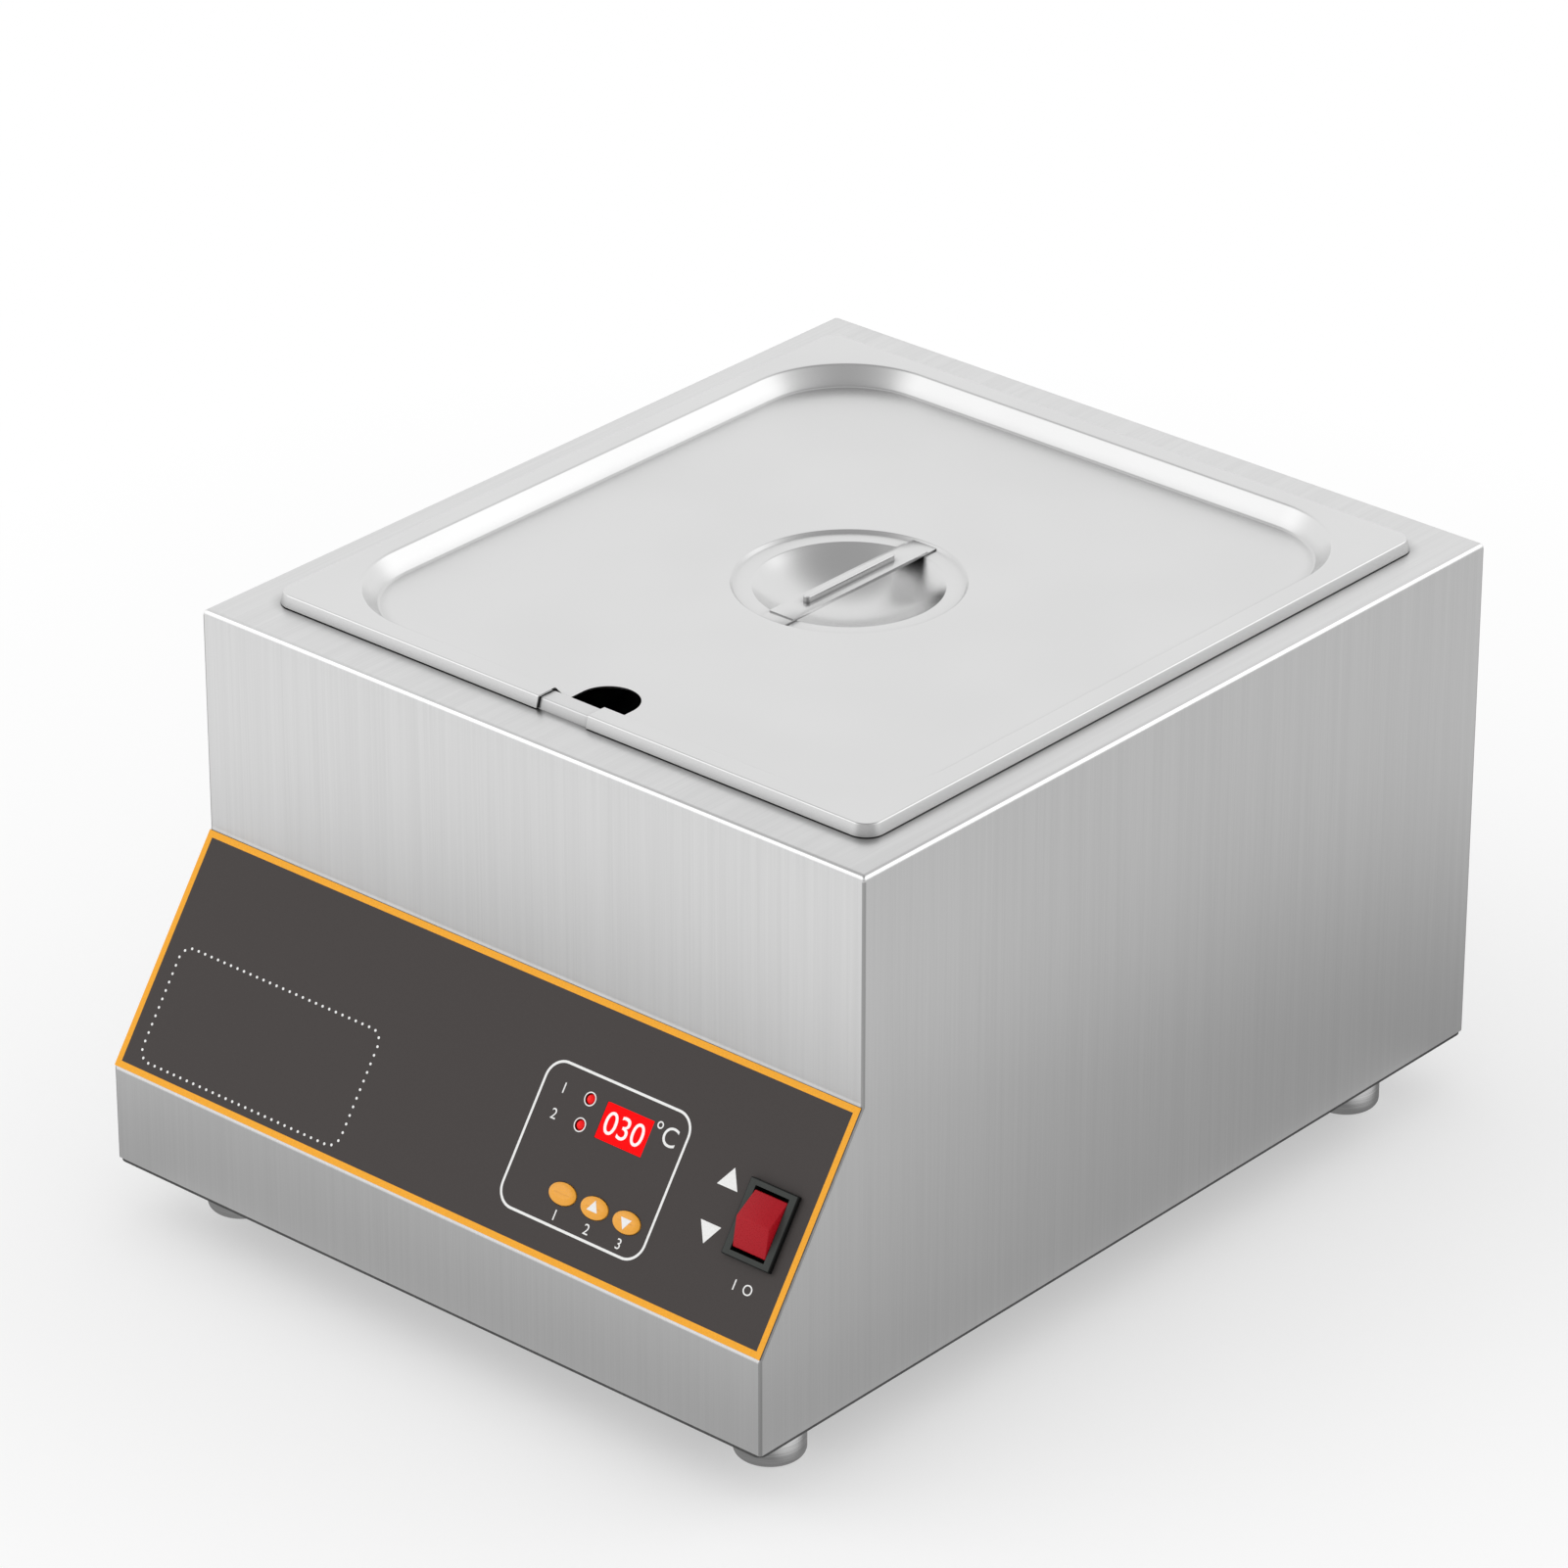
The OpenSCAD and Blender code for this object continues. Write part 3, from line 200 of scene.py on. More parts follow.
def brushed_steel(name, value, contrast, roughness, relief):
    """Sheet with a straight grain, upright on walls and front to back on level faces."""
    finish, tree, shader = new_finish(name, tone(value, 1), 1.0, roughness)
    place = tree.nodes.new("ShaderNodeTexCoord")
    parts = tree.nodes.new("ShaderNodeSeparateXYZ")
    tree.links.new(place.outputs["Normal"], parts.inputs["Vector"])
    upward = calculated(tree, "ABSOLUTE", parts.outputs["Z"])
    level = calculated(tree, "GREATER_THAN", upward, UPRIGHT_LIMIT)
    on_walls = add_node(tree, "ShaderNodeMapping", Scale=(ACROSS, ACROSS, ALONG))
    on_deck = add_node(tree, "ShaderNodeMapping", Scale=(ACROSS, ALONG, ACROSS))
    for mapping in (on_walls, on_deck):
        tree.links.new(place.outputs["Object"], mapping.inputs["Vector"])
    # A Mix node has its vector inputs at places 4 and 5, and their result at place 1.
    chosen = add_node(tree, "ShaderNodeMix", data_type="VECTOR")
    tree.links.new(level, chosen.inputs["Factor"])
    tree.links.new(on_walls.outputs["Vector"], chosen.inputs[4])
    tree.links.new(on_deck.outputs["Vector"], chosen.inputs[5])
    grain = noise_on(tree, chosen.outputs[1], 1.0, 3.0)
    streaks = noise_on(tree, chosen.outputs[1], STREAK_SCALE, 2.0)
    mixed = calculated(tree, "MULTIPLY_ADD", grain, 0.5, calculated(tree, "MULTIPLY", streaks, 0.5))
    darken_crevices(tree, shader, ramp(tree, mixed, tone(value, 1 - contrast), tone(value, 1 + contrast)))
    rough_range = (roughness + ROUGHNESS_SPREAD, roughness - ROUGHNESS_SPREAD)
    tree.links.new(mapped(tree, mixed, NOISE_RANGE, rough_range), shader.inputs["Roughness"])
    bump(tree, shader, mixed, relief)
    return finish


sheet_steel = brushed_steel("sheet_steel", 0.70, 0.03, 0.306, 0.03)
# The folds' copy is lighter and glossier than the sheet: a painted highlight along each fold.
fold_highlight_steel = brushed_steel("fold_highlight_steel", 0.92, 0.03, 0.24, 0.03)
seam_steel = brushed_steel("seam_steel", 0.42, 0.10, 0.467, 0.06)
# The base plate's copy is near black: painted shade for the dark line along the casing's foot.
base_shade_steel = brushed_steel("base_shade_steel", 0.13, 0.15, 0.50, 0.10)
print("brushed steel", len(sheet_steel.node_tree.nodes), "nodes")

# %% [markdown]
# ## Satin and turned metal
# The lid, the pan and the handle are pressed from smoother sheet. Their grain is so fine that it only
# softens reflections, with a faint cloudiness left by the press and the polishing wheel, so soft noise
# in the colour is enough. The feet come from a lathe, which leaves rings: noise that is fine along the
# upright axis only.

# %% Satin and turned metal
CLOUD_TONES = (0.985, 1.01)
TURNED_SCALE = (40, 40, 2600)
TURNED_TONES = (0.9, 1.08)
TURNED_RELIEF = 0.12


def satin_metal(name, value, roughness, scale, tint=(1, 1, 1)):
    """Pressed or plated metal with a faint cloudiness."""
    finish, tree, shader = new_finish(name, tone(value, 1, tint), 1.0, roughness)
    place = tree.nodes.new("ShaderNodeTexCoord")
    cloud = noise_on(tree, place.outputs["Object"], scale, 1.0)
    dark, light = (tone(value, share, tint) for share in CLOUD_TONES)
    darken_crevices(tree, shader, ramp(tree, cloud, dark, light))
    return finish


def turned_steel(name, value, roughness):
    """Fine rings left by a lathe, along the upright axis of a foot."""
    finish, tree, shader = new_finish(name, tone(value, 1), 1.0, roughness)
    place = tree.nodes.new("ShaderNodeTexCoord")
    rings = add_node(tree, "ShaderNodeMapping", Scale=TURNED_SCALE)
    tree.links.new(place.outputs["Object"], rings.inputs["Vector"])
    lines = noise_on(tree, rings.outputs["Vector"], 1.0, 2.0)
    dark, light = (tone(value, share) for share in TURNED_TONES)
    tree.links.new(ramp(tree, lines, dark, light), shader.inputs["Base Color"])
    rough_range = (roughness - ROUGHNESS_SPREAD, roughness + ROUGHNESS_SPREAD)
    tree.links.new(mapped(tree, lines, NOISE_RANGE, rough_range), shader.inputs["Roughness"])
    bump(tree, shader, lines, TURNED_RELIEF)
    return finish


lid_steel = satin_metal("lid_steel", 0.72, 0.27, 14)
dish_steel = satin_metal("dish_steel", 0.72, 0.242, 14)
pan_steel = satin_metal("pan_steel", 0.70, 0.30, 14)
zinc_steel = satin_metal("zinc_steel", 0.52, 0.34, 60)
brass_metal = satin_metal("brass_metal", 0.62, 0.30, 60, (1, 0.74, 0.32))
foot_steel = turned_steel("foot_steel", 0.78, 0.177)
print("satin metal", len(lid_steel.node_tree.nodes), "nodes")

# %% [markdown]
# ## Plastics, film, rubber and wool
# Moulded plastic has a fine even grain. The panel's film is a printed sheet with a silky face. The
# insulation is a board of pressed fibres. Each could have a material of its own kind, but they differ
# only in tone, grain size and relief, so one helper makes them all.

# %% Moulded and soft finishes
GRAIN_ROUGHNESS = 0.05


def grained(name, color, roughness, scale, contrast, relief):
    """A plastic, rubber, film or fibre with an even grain."""
    finish, tree, shader = new_finish(name, color, 0.0, roughness)
    place = tree.nodes.new("ShaderNodeTexCoord")
    grain = noise_on(tree, place.outputs["Object"], scale, 3.0)
    dark = tuple(c * (1 - contrast) for c in color)
    light = tuple(min(1.0, c * (1 + contrast)) for c in color)
    tree.links.new(ramp(tree, grain, dark, light), shader.inputs["Base Color"])
    rough_range = (roughness - GRAIN_ROUGHNESS, roughness + GRAIN_ROUGHNESS)
    tree.links.new(mapped(tree, grain, NOISE_RANGE, rough_range), shader.inputs["Roughness"])
    bump(tree, shader, grain, relief)
    return finish


film = grained("film", (0.059, 0.0515, 0.0495), 0.55, 2600, 0.06, 0.05)
orange_ink = grained("orange_ink", (0.92, 0.41, 0.035), 0.5, 1500, 0.05, 0.02)
white_ink = grained("white_ink", (0.86, 0.86, 0.85), 0.5, 1500, 0.04, 0.02)
key_plastic = grained("key_plastic", (0.86, 0.38, 0.035), 0.17, 1800, 0.04, 0.01)
rocker_plastic = grained("rocker_plastic", (0.40, 0.006, 0.014), 0.30, 2000, 0.06, 0.03)
bezel_plastic = grained("bezel_plastic", (0.006, 0.0065, 0.0065), 0.42, 2400, 0.12, 0.06)
# The bezel's paler copy is painted light, for its top and the end walls of the rocker's room.
bezel_painted_light = grained("bezel_painted_light", (0.044, 0.048, 0.045), 0.50, 2400, 0.08, 0.05)
board_lacquer = grained("board_lacquer", (0.02, 0.11, 0.045), 0.35, 900, 0.15, 0.05)
relay_plastic = grained("relay_plastic", (0.03, 0.10, 0.32), 0.4, 1500, 0.08, 0.04)
block_plastic = grained("block_plastic", (0.04, 0.16, 0.06), 0.45, 1500, 0.08, 0.04)
seal_rubber = grained("seal_rubber", (0.016, 0.016, 0.016), 0.75, 1200, 0.15, 0.10)
mat_silicone = grained("mat_silicone", (0.30, 0.07, 0.03), 0.6, 900, 0.12, 0.10)
board_wool = grained("board_wool", (0.62, 0.54, 0.35), 0.95, 420, 0.22, 0.6)
red_sleeve = grained("red_sleeve", (0.36, 0.02, 0.02), 0.45, 800, 0.08, 0.03)
white_sleeve = grained("white_sleeve", (0.72, 0.72, 0.68), 0.5, 800, 0.06, 0.03)
grey_sleeve = grained("grey_sleeve", (0.10, 0.10, 0.11), 0.5, 800, 0.08, 0.03)
yellow_sleeve = grained("yellow_sleeve", (0.62, 0.42, 0.06), 0.5, 800, 0.08, 0.03)
print("grained finish", len(film.node_tree.nodes), "nodes")

# %% [markdown]
# The display and the two lamps are lit from behind. A lamp inside each would be true to life, but a
# little light from the surface looks the same and costs no samples. The film, its inks and the dark
# plastics are also less glossy than bare plastic, so their mirror layer is turned down.

# %% Lit and silky plastics
LIT_CONTRAST = 0.05
LIT_RELIEF = 0.02
SILKY = 0.2
MATT = 0.03


def glowing(name, color, roughness, scale, glow):
    """A lit plastic: the same grain, with light of its own."""
    finish = grained(name, color, roughness, scale, LIT_CONTRAST, LIT_RELIEF)
    shader = finish.node_tree.nodes["Principled BSDF"]
    shader.inputs["Emission Color"].default_value = (*color, 1)
    shader.inputs["Emission Strength"].default_value = glow
    return finish


def turn_down(finish, level):
    """Sets the strength of a plastic's mirror layer."""
    finish.node_tree.nodes["Principled BSDF"].inputs["Specular IOR Level"].default_value = level


lit_red = glowing("lit_red", (0.80, 0.003, 0.004), 0.18, 1500, 0.55)
lit_white = glowing("lit_white", (0.92, 0.74, 0.74), 0.3, 1500, 0.25)
lamp_red = glowing("lamp_red", (0.75, 0.01, 0.01), 0.12, 1500, 0.35)
for silky in (film, orange_ink, bezel_painted_light, bezel_plastic, rocker_plastic, lamp_red):
    turn_down(silky, SILKY)
turn_down(lit_red, MATT)
print("finishes", len(bpy.data.materials))

# %% [markdown]
# ## Finishes of the solids
# Most solids can be seen as they are, above all those inside the casing. Each could be dressed on its
# own. A table from finish to solids keeps it in one place, and it also covers the solids that a
# modelled piece replaces further down, so that none is ever bare.

# %% Finishes of the solids
finish_of = {
    "sheet_steel": ["casing", "heating_well"],
    "base_shade_steel": ["base_plate"],
    "foot_steel": ["foot_front_left", "foot_front_right", "foot_rear_left", "foot_rear_right"],
    "lid_steel": ["lid", "lid_handle", "temperature_probe"],
    "pan_steel": ["pan"],
    "zinc_steel": [
        "base_screws", "foot_screws", "well_nuts", "heater_clamp_plate", "heater_nuts", "probe_clip",
        "sensor_screws", "board_screws",
    ],
    "brass_metal": ["board_spacers", "switch_terminals", "earth_bolt", "earth_nut"],
    "mat_silicone": ["base_heater", "side_heater_left", "side_heater_right"],
    "board_wool": ["insulation_left", "insulation_right", "insulation_front", "insulation_rear"],
    "film": ["panel_overlay"],
    "lit_red": ["display_window"],
    "lamp_red": ["heating_lamp", "holding_lamp"],
    "key_plastic": ["button_set", "button_up", "button_down"],
    "rocker_plastic": ["switch_rocker"],
    "bezel_plastic": [
        "display_module", "tact_switch_set", "tact_switch_up", "tact_switch_down", "transformer",
        "switch_housing", "overheat_cutout", "gland_body", "gland_cap", "gland_lock_nut",
    ],
    "board_lacquer": ["control_board"],
    "relay_plastic": ["relay"],
    "block_plastic": ["terminal_block"],
    "seal_rubber": ["gland_seal"],
    "red_sleeve": ["switch_leads"],
    "white_sleeve": ["heater_leads"],
    "grey_sleeve": ["probe_lead"],
    "yellow_sleeve": ["cutout_leads"],
}


def give_finish(piece, finish):
    """Puts one finish on the whole of a piece."""
    piece.data.materials.clear()
    piece.data.materials.append(finish)


for finish_name, members in finish_of.items():
    for member in members:
        give_finish(nodes[member], bpy.data.materials[finish_name])
print("dressed", sum(len(members) for members in finish_of.values()), "solids")

# %% [markdown]
# ## Studio
# The tank stands on a pale floor in a white room. Steel shows what it reflects, so a photographer sets
# boards round it. Here the floor and the room have a tone of their own for reflected rays instead,
# which the Light Path node tells apart. That is quicker to adjust than boards.

# %% Floor
FLOOR_HALF = 12
bpy.ops.object.select_all(action="DESELECT")
bpy.ops.mesh.primitive_plane_add(size=2 * FLOOR_HALF)
floor = bpy.context.object
floor.name = "floor"
print("floor", floor.dimensions[0], "m")

# %% [markdown]
# The floor's tones follow the distance from the tank's outline. It is the distance from a rectangle:
# how far a place lies beside it and before it, as one length. Within the outline it is negative.

# %% Distance from the tank
TANK_HALF = (0.180, 0.2305)
TANK_MIDDLE_Y = -0.0095
floor_paint, tree, shader = new_finish("floor_paint", (0.93, 0.93, 0.93), 0.0, 0.9)
shader.inputs["Specular IOR Level"].default_value = 0.0
place = tree.nodes.new("ShaderNodeTexCoord").outputs["Object"]
parts = tree.nodes.new("ShaderNodeSeparateXYZ")
tree.links.new(place, parts.inputs["Vector"])
beside = calculated(tree, "SUBTRACT", calculated(tree, "ABSOLUTE", parts.outputs["X"]), TANK_HALF[0])
along_y = calculated(tree, "SUBTRACT", parts.outputs["Y"], TANK_MIDDLE_Y)
before = calculated(tree, "SUBTRACT", calculated(tree, "ABSOLUTE", along_y), TANK_HALF[1])
inside = calculated(tree, "MINIMUM", calculated(tree, "MAXIMUM", beside, before), 0.0)
out_x = calculated(tree, "POWER", calculated(tree, "MAXIMUM", beside, 0.0), 2.0)
out_y = calculated(tree, "POWER", calculated(tree, "MAXIMUM", before, 0.0), 2.0)
away = calculated(tree, "ADD", calculated(tree, "SQRT", calculated(tree, "ADD", out_x, out_y)), inside)
print("outline", 2 * TANK_HALF[0], "by", 2 * TANK_HALF[1], "m")

# %% [markdown]
# To the camera, the floor keeps the tank's shadow, lightened by painted light near the tank, and fades
# to white further out. In reflections it has painted light and shade: a painted shadow, grey close to
# the tank and dark under it, a painted light line along its edge, and painted shade that dims it
# towards its right.

# %% Floor paint
FADE_REACH = 0.55
FADE_NEAR = 0.44
MIRROR_REACH = 0.48
MIRROR_NEAR_SHADE = 0.45
MIRROR_FAR = 0.97
MIRROR_SIDE = (0.66, 0.75, 0.0)
MIRROR_SIDE_REACH = (-0.3, 0.8)
MIRROR_RIGHT_SHADE = 0.67
UNDER_TANK = (-0.015, 0.003)
UNDER_PAINTED_SHADE = 0.3
EDGE_REACH = (0.012, 0.03)
EDGE_PAINTED_LIGHT = 1.8


def along(tree, vector, way):
    """How far a vector reaches along a direction."""
    made = add_node(tree, "ShaderNodeVectorMath", operation="DOT_PRODUCT")
    tree.links.new(vector, made.inputs[0])
    made.inputs[1].default_value = way
    return made.outputs["Value"]


def mixed_shader(tree, factor, first, second):
    """Mixes two shaders by a factor."""
    made = tree.nodes.new("ShaderNodeMixShader")
    for socket, output in zip(made.inputs, (factor, first, second)):
        tree.links.new(output, socket)
    return made.outputs["Shader"]


white = add_node(tree, "ShaderNodeEmission", Strength=1.0).outputs["Emission"]
fade = mapped(tree, away, (0, FADE_REACH), (FADE_NEAR, 1.0), False)
direct = mixed_shader(tree, fade, shader.outputs["BSDF"], white)
# Tones for reflected rays: painted shadow near and under the tank, a painted light line along its edge,
# and painted shade towards its right.
floor_tone = mapped(tree, away, (0, MIRROR_REACH), (MIRROR_NEAR_SHADE, MIRROR_FAR))
side_tone = mapped(tree, along(tree, place, MIRROR_SIDE), MIRROR_SIDE_REACH, (1.0, MIRROR_RIGHT_SHADE))
under_tone = mapped(tree, away, UNDER_TANK, (UNDER_PAINTED_SHADE, 1.0))
edge_tone = mapped(tree, away, EDGE_REACH, (EDGE_PAINTED_LIGHT, 1.0))
for share in (side_tone, under_tone, edge_tone):
    floor_tone = calculated(tree, "MULTIPLY", floor_tone, share)
mirrored = tree.nodes.new("ShaderNodeEmission")
tree.links.new(floor_tone, mirrored.inputs["Strength"])
is_mirrored = tree.nodes.new("ShaderNodeLightPath").outputs["Is Glossy Ray"]
surface = mixed_shader(tree, is_mirrored, direct, mirrored.outputs["Emission"])
tree.links.new(surface, tree.nodes["Material Output"].inputs["Surface"])
give_finish(floor, floor_paint)
print("floor paint", len(tree.nodes), "nodes")

# %% [markdown]
# The room is white to the camera and lights the tank evenly. In reflections it has a dim ceiling, a
# darker side in front on the right, and two bright sides that draw the white lines in the lid's
# recess. An image of a studio could do the same, but a few mapped directions are easier to tune.

# %% Room
ROOM_LIGHT = 0.78
CEILING = 0.42
CEILING_REACH = (0.62, 0.97)
DARK_SIDE = (0.66, -0.75, 0.0)
DARK_SIDE_REACH = (0.3, 0.85)
DARK_SIDE_TONE = 0.5
BRIGHT_SIDES = [(-0.586, -0.54, 0.603), (0.53, 0.669, 0.521)]
BRIGHT_SIDE_REACH = (0.9, 0.985)
BRIGHT_SIDE_TONE = 1.5
world = bpy.data.worlds.new("room")
world.use_nodes = True
scene.world = world
tree = world.node_tree
direction = tree.nodes.new("ShaderNodeTexCoord").outputs["Generated"]
mirror_tone = mapped(tree, along(tree, direction, (0.0, 0.0, 1.0)), CEILING_REACH, (1.0, CEILING))
sides = [(DARK_SIDE, DARK_SIDE_REACH, DARK_SIDE_TONE)]
sides += [(side, BRIGHT_SIDE_REACH, BRIGHT_SIDE_TONE) for side in BRIGHT_SIDES]
for side, reach, side_tone in sides:
    share = mapped(tree, along(tree, direction, side), reach, (1.0, side_tone))
    mirror_tone = calculated(tree, "MULTIPLY", mirror_tone, share)
rays = tree.nodes.new("ShaderNodeLightPath")
glossy = rays.outputs["Is Glossy Ray"]
seen = calculated(tree, "MAXIMUM", rays.outputs["Is Camera Ray"], rays.outputs["Is Transmission Ray"])
in_steel = calculated(tree, "MULTIPLY", mirror_tone, glossy)
neither = calculated(tree, "SUBTRACT", calculated(tree, "SUBTRACT", 1.0, seen), glossy)
lighting = calculated(tree, "MULTIPLY", calculated(tree, "MAXIMUM", neither, 0.0), ROOM_LIGHT)
strength = calculated(tree, "ADD", calculated(tree, "ADD", seen, in_steel), lighting)
room = tree.nodes["Background"]
room.inputs["Color"].default_value = (1, 1, 1, 1)
tree.links.new(strength, room.inputs["Strength"])
print("room", len(tree.nodes), "nodes")

# %% [markdown]
# Two large area lamps give the shadow its direction. A sun lamp would draw it too hard. Steel shows the
# room instead of the lamps, so they are hidden from reflections.

# %% Lamps
LAMPS_LOOK_AT = Vector((0, 0, 0.15))


def soft_box(name, place, size, watts):
    """A square area lamp that looks at the tank."""
    bpy.ops.object.select_all(action="DESELECT")
    aim = (Vector(place) - LAMPS_LOOK_AT).to_track_quat("Z", "Y").to_euler()
    bpy.ops.object.light_add(type="AREA", location=place, rotation=aim)
    lamp = bpy.context.object
    lamp.name = name
    lamp.data.size = size
    lamp.data.energy = watts
    lamp.visible_glossy = False
    print(name, watts, "W")


soft_box("key_lamp", (-2.0, -2.2, 2.5), 3.0, 35)
soft_box("rim_lamp", (1.7, 2.1, 2.0), 2.1, 12)

# %% [markdown]
# ## Helpers for modelling
# Pieces are modelled as by hand: a primitive goes in at its size, and edit mode shapes it. An operator
# acts on all that is selected, so each helper first makes sure that only its own piece is.

# %% Opening and closing a piece
def only(piece):
    """Makes one piece the only selected and active one."""
    bpy.ops.object.select_all(action="DESELECT")
    piece.select_set(True)
    bpy.context.view_layer.objects.active = piece


def named(name):
    """Names the object that was just made, and its mesh."""
    piece = bpy.context.object
    piece.name = name
    piece.data.name = name
    return piece


def added(name, primitive, **values):
    """Adds a primitive by its operator, alone selected, and names it."""
    bpy.ops.object.select_all(action="DESELECT")
    primitive(**values)
    return named(name)


def open_edit(piece):
    """Opens a piece in edit mode, with all of it selected."""
    only(piece)
    bpy.ops.object.mode_set(mode="EDIT")
    bpy.ops.mesh.select_all(action="SELECT")


def started(name, primitive, **values):
    """Adds a primitive and opens it in edit mode."""
    piece = added(name, primitive, **values)
    open_edit(piece)
    return piece


def end_edit():
    """Turns the normals out and leaves edit mode."""
    bpy.ops.mesh.select_all(action="SELECT")
    bpy.ops.mesh.normals_make_consistent(inside=False)
    bpy.ops.object.mode_set(mode="OBJECT")


def copy_of(piece, name):
    """A copy of a piece with a mesh of its own, selected."""
    only(piece)
    bpy.ops.object.duplicate()
    return named(name)


def discard(piece):
    """Removes a piece that was only a model or a tool."""
    bpy.data.objects.remove(piece, do_unlink=True)


print("edit helpers ready")

# %% [markdown]
# By hand, faces and edges are clicked. In a script they are picked by where they are and which way
# they look, which still finds them when a size changes.

# %% Picking faces and edges
FACING = 0.9


def pick(piece, mode, test):
    """In edit mode, selects only the faces or edges that pass a test."""
    bpy.ops.mesh.select_mode(type=mode)
    bpy.ops.mesh.select_all(action="DESELECT")
    shape = bmesh.from_edit_mesh(piece.data)
    for part in shape.faces if mode == "FACE" else shape.edges:
        if test(part):
            part.select_set(True)
    bmesh.update_edit_mesh(piece.data)


def pick_faces(piece, test):
    """Selects the faces whose middle and normal pass a test."""
    pick(piece, "FACE", lambda face: test(face.calc_center_median(), face.normal))


def pick_edges(piece, test):
    """Selects the edges whose two ends pass a test."""
    pick(piece, "EDGE", lambda edge: test(edge.verts[0].co, edge.verts[1].co))


def pull(way):
    """Extrudes what is selected, and moves it."""
    bpy.ops.mesh.extrude_region_move(TRANSFORM_OT_translate={"value": way})


print("a face looks along an axis past", FACING)

# %% [markdown]
# Modifiers do what would be slow by hand: they round edges, give sheet its thickness and cut one shape
# from another. Each is applied at once, so the next step starts from a plain mesh.

# %% Modifiers
SHARP_ANGLE = math.radians(35)


def apply_modifier(piece, kind, **values):
    """Adds a modifier with its values and applies it."""
    only(piece)
    made = piece.modifiers.new(kind.lower(), kind)
    for key, value in values.items():
        setattr(made, key, value)
    bpy.ops.object.modifier_apply(modifier=made.name)


def combine(piece, other, operation):
    """Joins a second piece to the first or cuts it away, and removes the second."""
    apply_modifier(piece, "BOOLEAN", operation=operation, object=other, solver="EXACT")
    discard(other)


def soften(piece, width, segments=3):
    """Rounds every edge that turns by more than a shallow angle."""
    apply_modifier(
        piece, "BEVEL", width=width, segments=segments, limit_method="ANGLE", angle_limit=SHARP_ANGLE
    )


def thicken(piece, thickness):
    """Gives a sheet its thickness, on the side away from its face."""
    apply_modifier(piece, "SOLIDIFY", thickness=thickness, offset=-1, use_even_offset=True)


def smooth(piece, degrees=32):
    """Shades a piece smooth, apart from edges that turn by more than an angle."""
    only(piece)
    bpy.ops.object.shade_smooth_by_angle(angle=math.radians(degrees))


print("modifier helpers ready")

# %% [markdown]
# Boxes and rods are where most pieces start, and what punches are made of. Sizes that the solids
# already have are read from their boxes, so that the two can't drift apart.

# %% Boxes, rods and handing over
def box_of(name):
    """The lowest and highest corner of a solid."""
    corners = [nodes[name].matrix_world @ Vector(corner) for corner in nodes[name].bound_box]
    low = Vector([min(c[i] for c in corners) for i in range(3)])
    high = Vector([max(c[i] for c in corners) for i in range(3)])
    return low, high


def box(name, size, middle):
    """A box at its size and place."""
    piece = started(name, bpy.ops.mesh.primitive_cube_add, size=1)
    bpy.ops.transform.resize(value=size)
    bpy.ops.transform.translate(value=middle)
    end_edit()
    return piece


def rod(name, radius, length, middle, turn=(0, 0, 0), vertices=48):
    """A round bar along Z, or turned to another axis."""
    piece = added(
        name, bpy.ops.mesh.primitive_cylinder_add,
        vertices=vertices, radius=radius, depth=length, location=middle, rotation=turn,
    )
    bpy.ops.object.transform_apply(location=True, rotation=True, scale=True)
    return piece


def finish_piece(piece, finish, body, slot, *replaced):
    """Gives a piece its finish, its body and the solids that it stands for. The slot is not used."""
    if finish is not None:
        give_finish(piece, finish)
    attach(piece, body)
    if replaced:
        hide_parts(*replaced)
    print(piece.name, len(piece.data.polygons), "faces")


# %% [markdown]
# ## Folded sections
# Sheet metal is drawn as a section: straight stretches joined by folds. A bevel could round each fold
# afterwards. Instead each stretch and each bit of a fold is one step of a face that is inset and moved,
# so a plate with round corners grows into a rim, a wall or a bowl, ring by ring, and every fold keeps
# its radius round the corners.

# %% Sections
SMALLEST_INSET = 1e-6


def arc_moves(radius, start, end, steps):
    """Moves (inwards, upwards) along an arc between two directions, in degrees above the level."""
    turn = 1 if end > start else -1
    angles = [math.radians(start + (end - start) * i / steps) for i in range(steps + 1)]
    return [
        (radius * turn * (math.sin(b) - math.sin(a)), radius * turn * (math.cos(a) - math.cos(b)))
        for a, b in zip(angles, angles[1:])
    ]


def folded(points, radii, steps=6):
    """Moves along a section through points, with a fold of its own radius at each inner point."""
    ways = [Vector(b) - Vector(a) for a, b in zip(points, points[1:])]
    angles = [math.degrees(math.atan2(way.y, way.x)) for way in ways]
    moves = []
    used = 0
    for i, way in enumerate(ways):
        tangent = 0
        if i < len(radii):
            tangent = radii[i] * math.tan(math.radians(abs(angles[i + 1] - angles[i])) / 2)
        straight = way.normalized() * (way.length - used - tangent)
        moves.append((straight.x, straight.y))
        if i < len(radii):
            moves += arc_moves(radii[i], angles[i], angles[i + 1], steps)
        used = tangent
    return moves


def step_in(moves):
    """Steps the selected face inwards and upwards through a list of moves."""
    for inwards, upwards in moves:
        bpy.ops.mesh.inset(thickness=max(inwards, SMALLEST_INSET), depth=upwards)


print("section helpers ready")

# %% [markdown]
# A pressing has parts with different corners, which one inset can't give. Each part is a plate of its
# own, left open at its end, and a flat band bridges the open loops that meet at one level.

# %% Plates and bands
CORNER_SEGMENTS = 20
LEVEL_GAP = 0.02 * MM


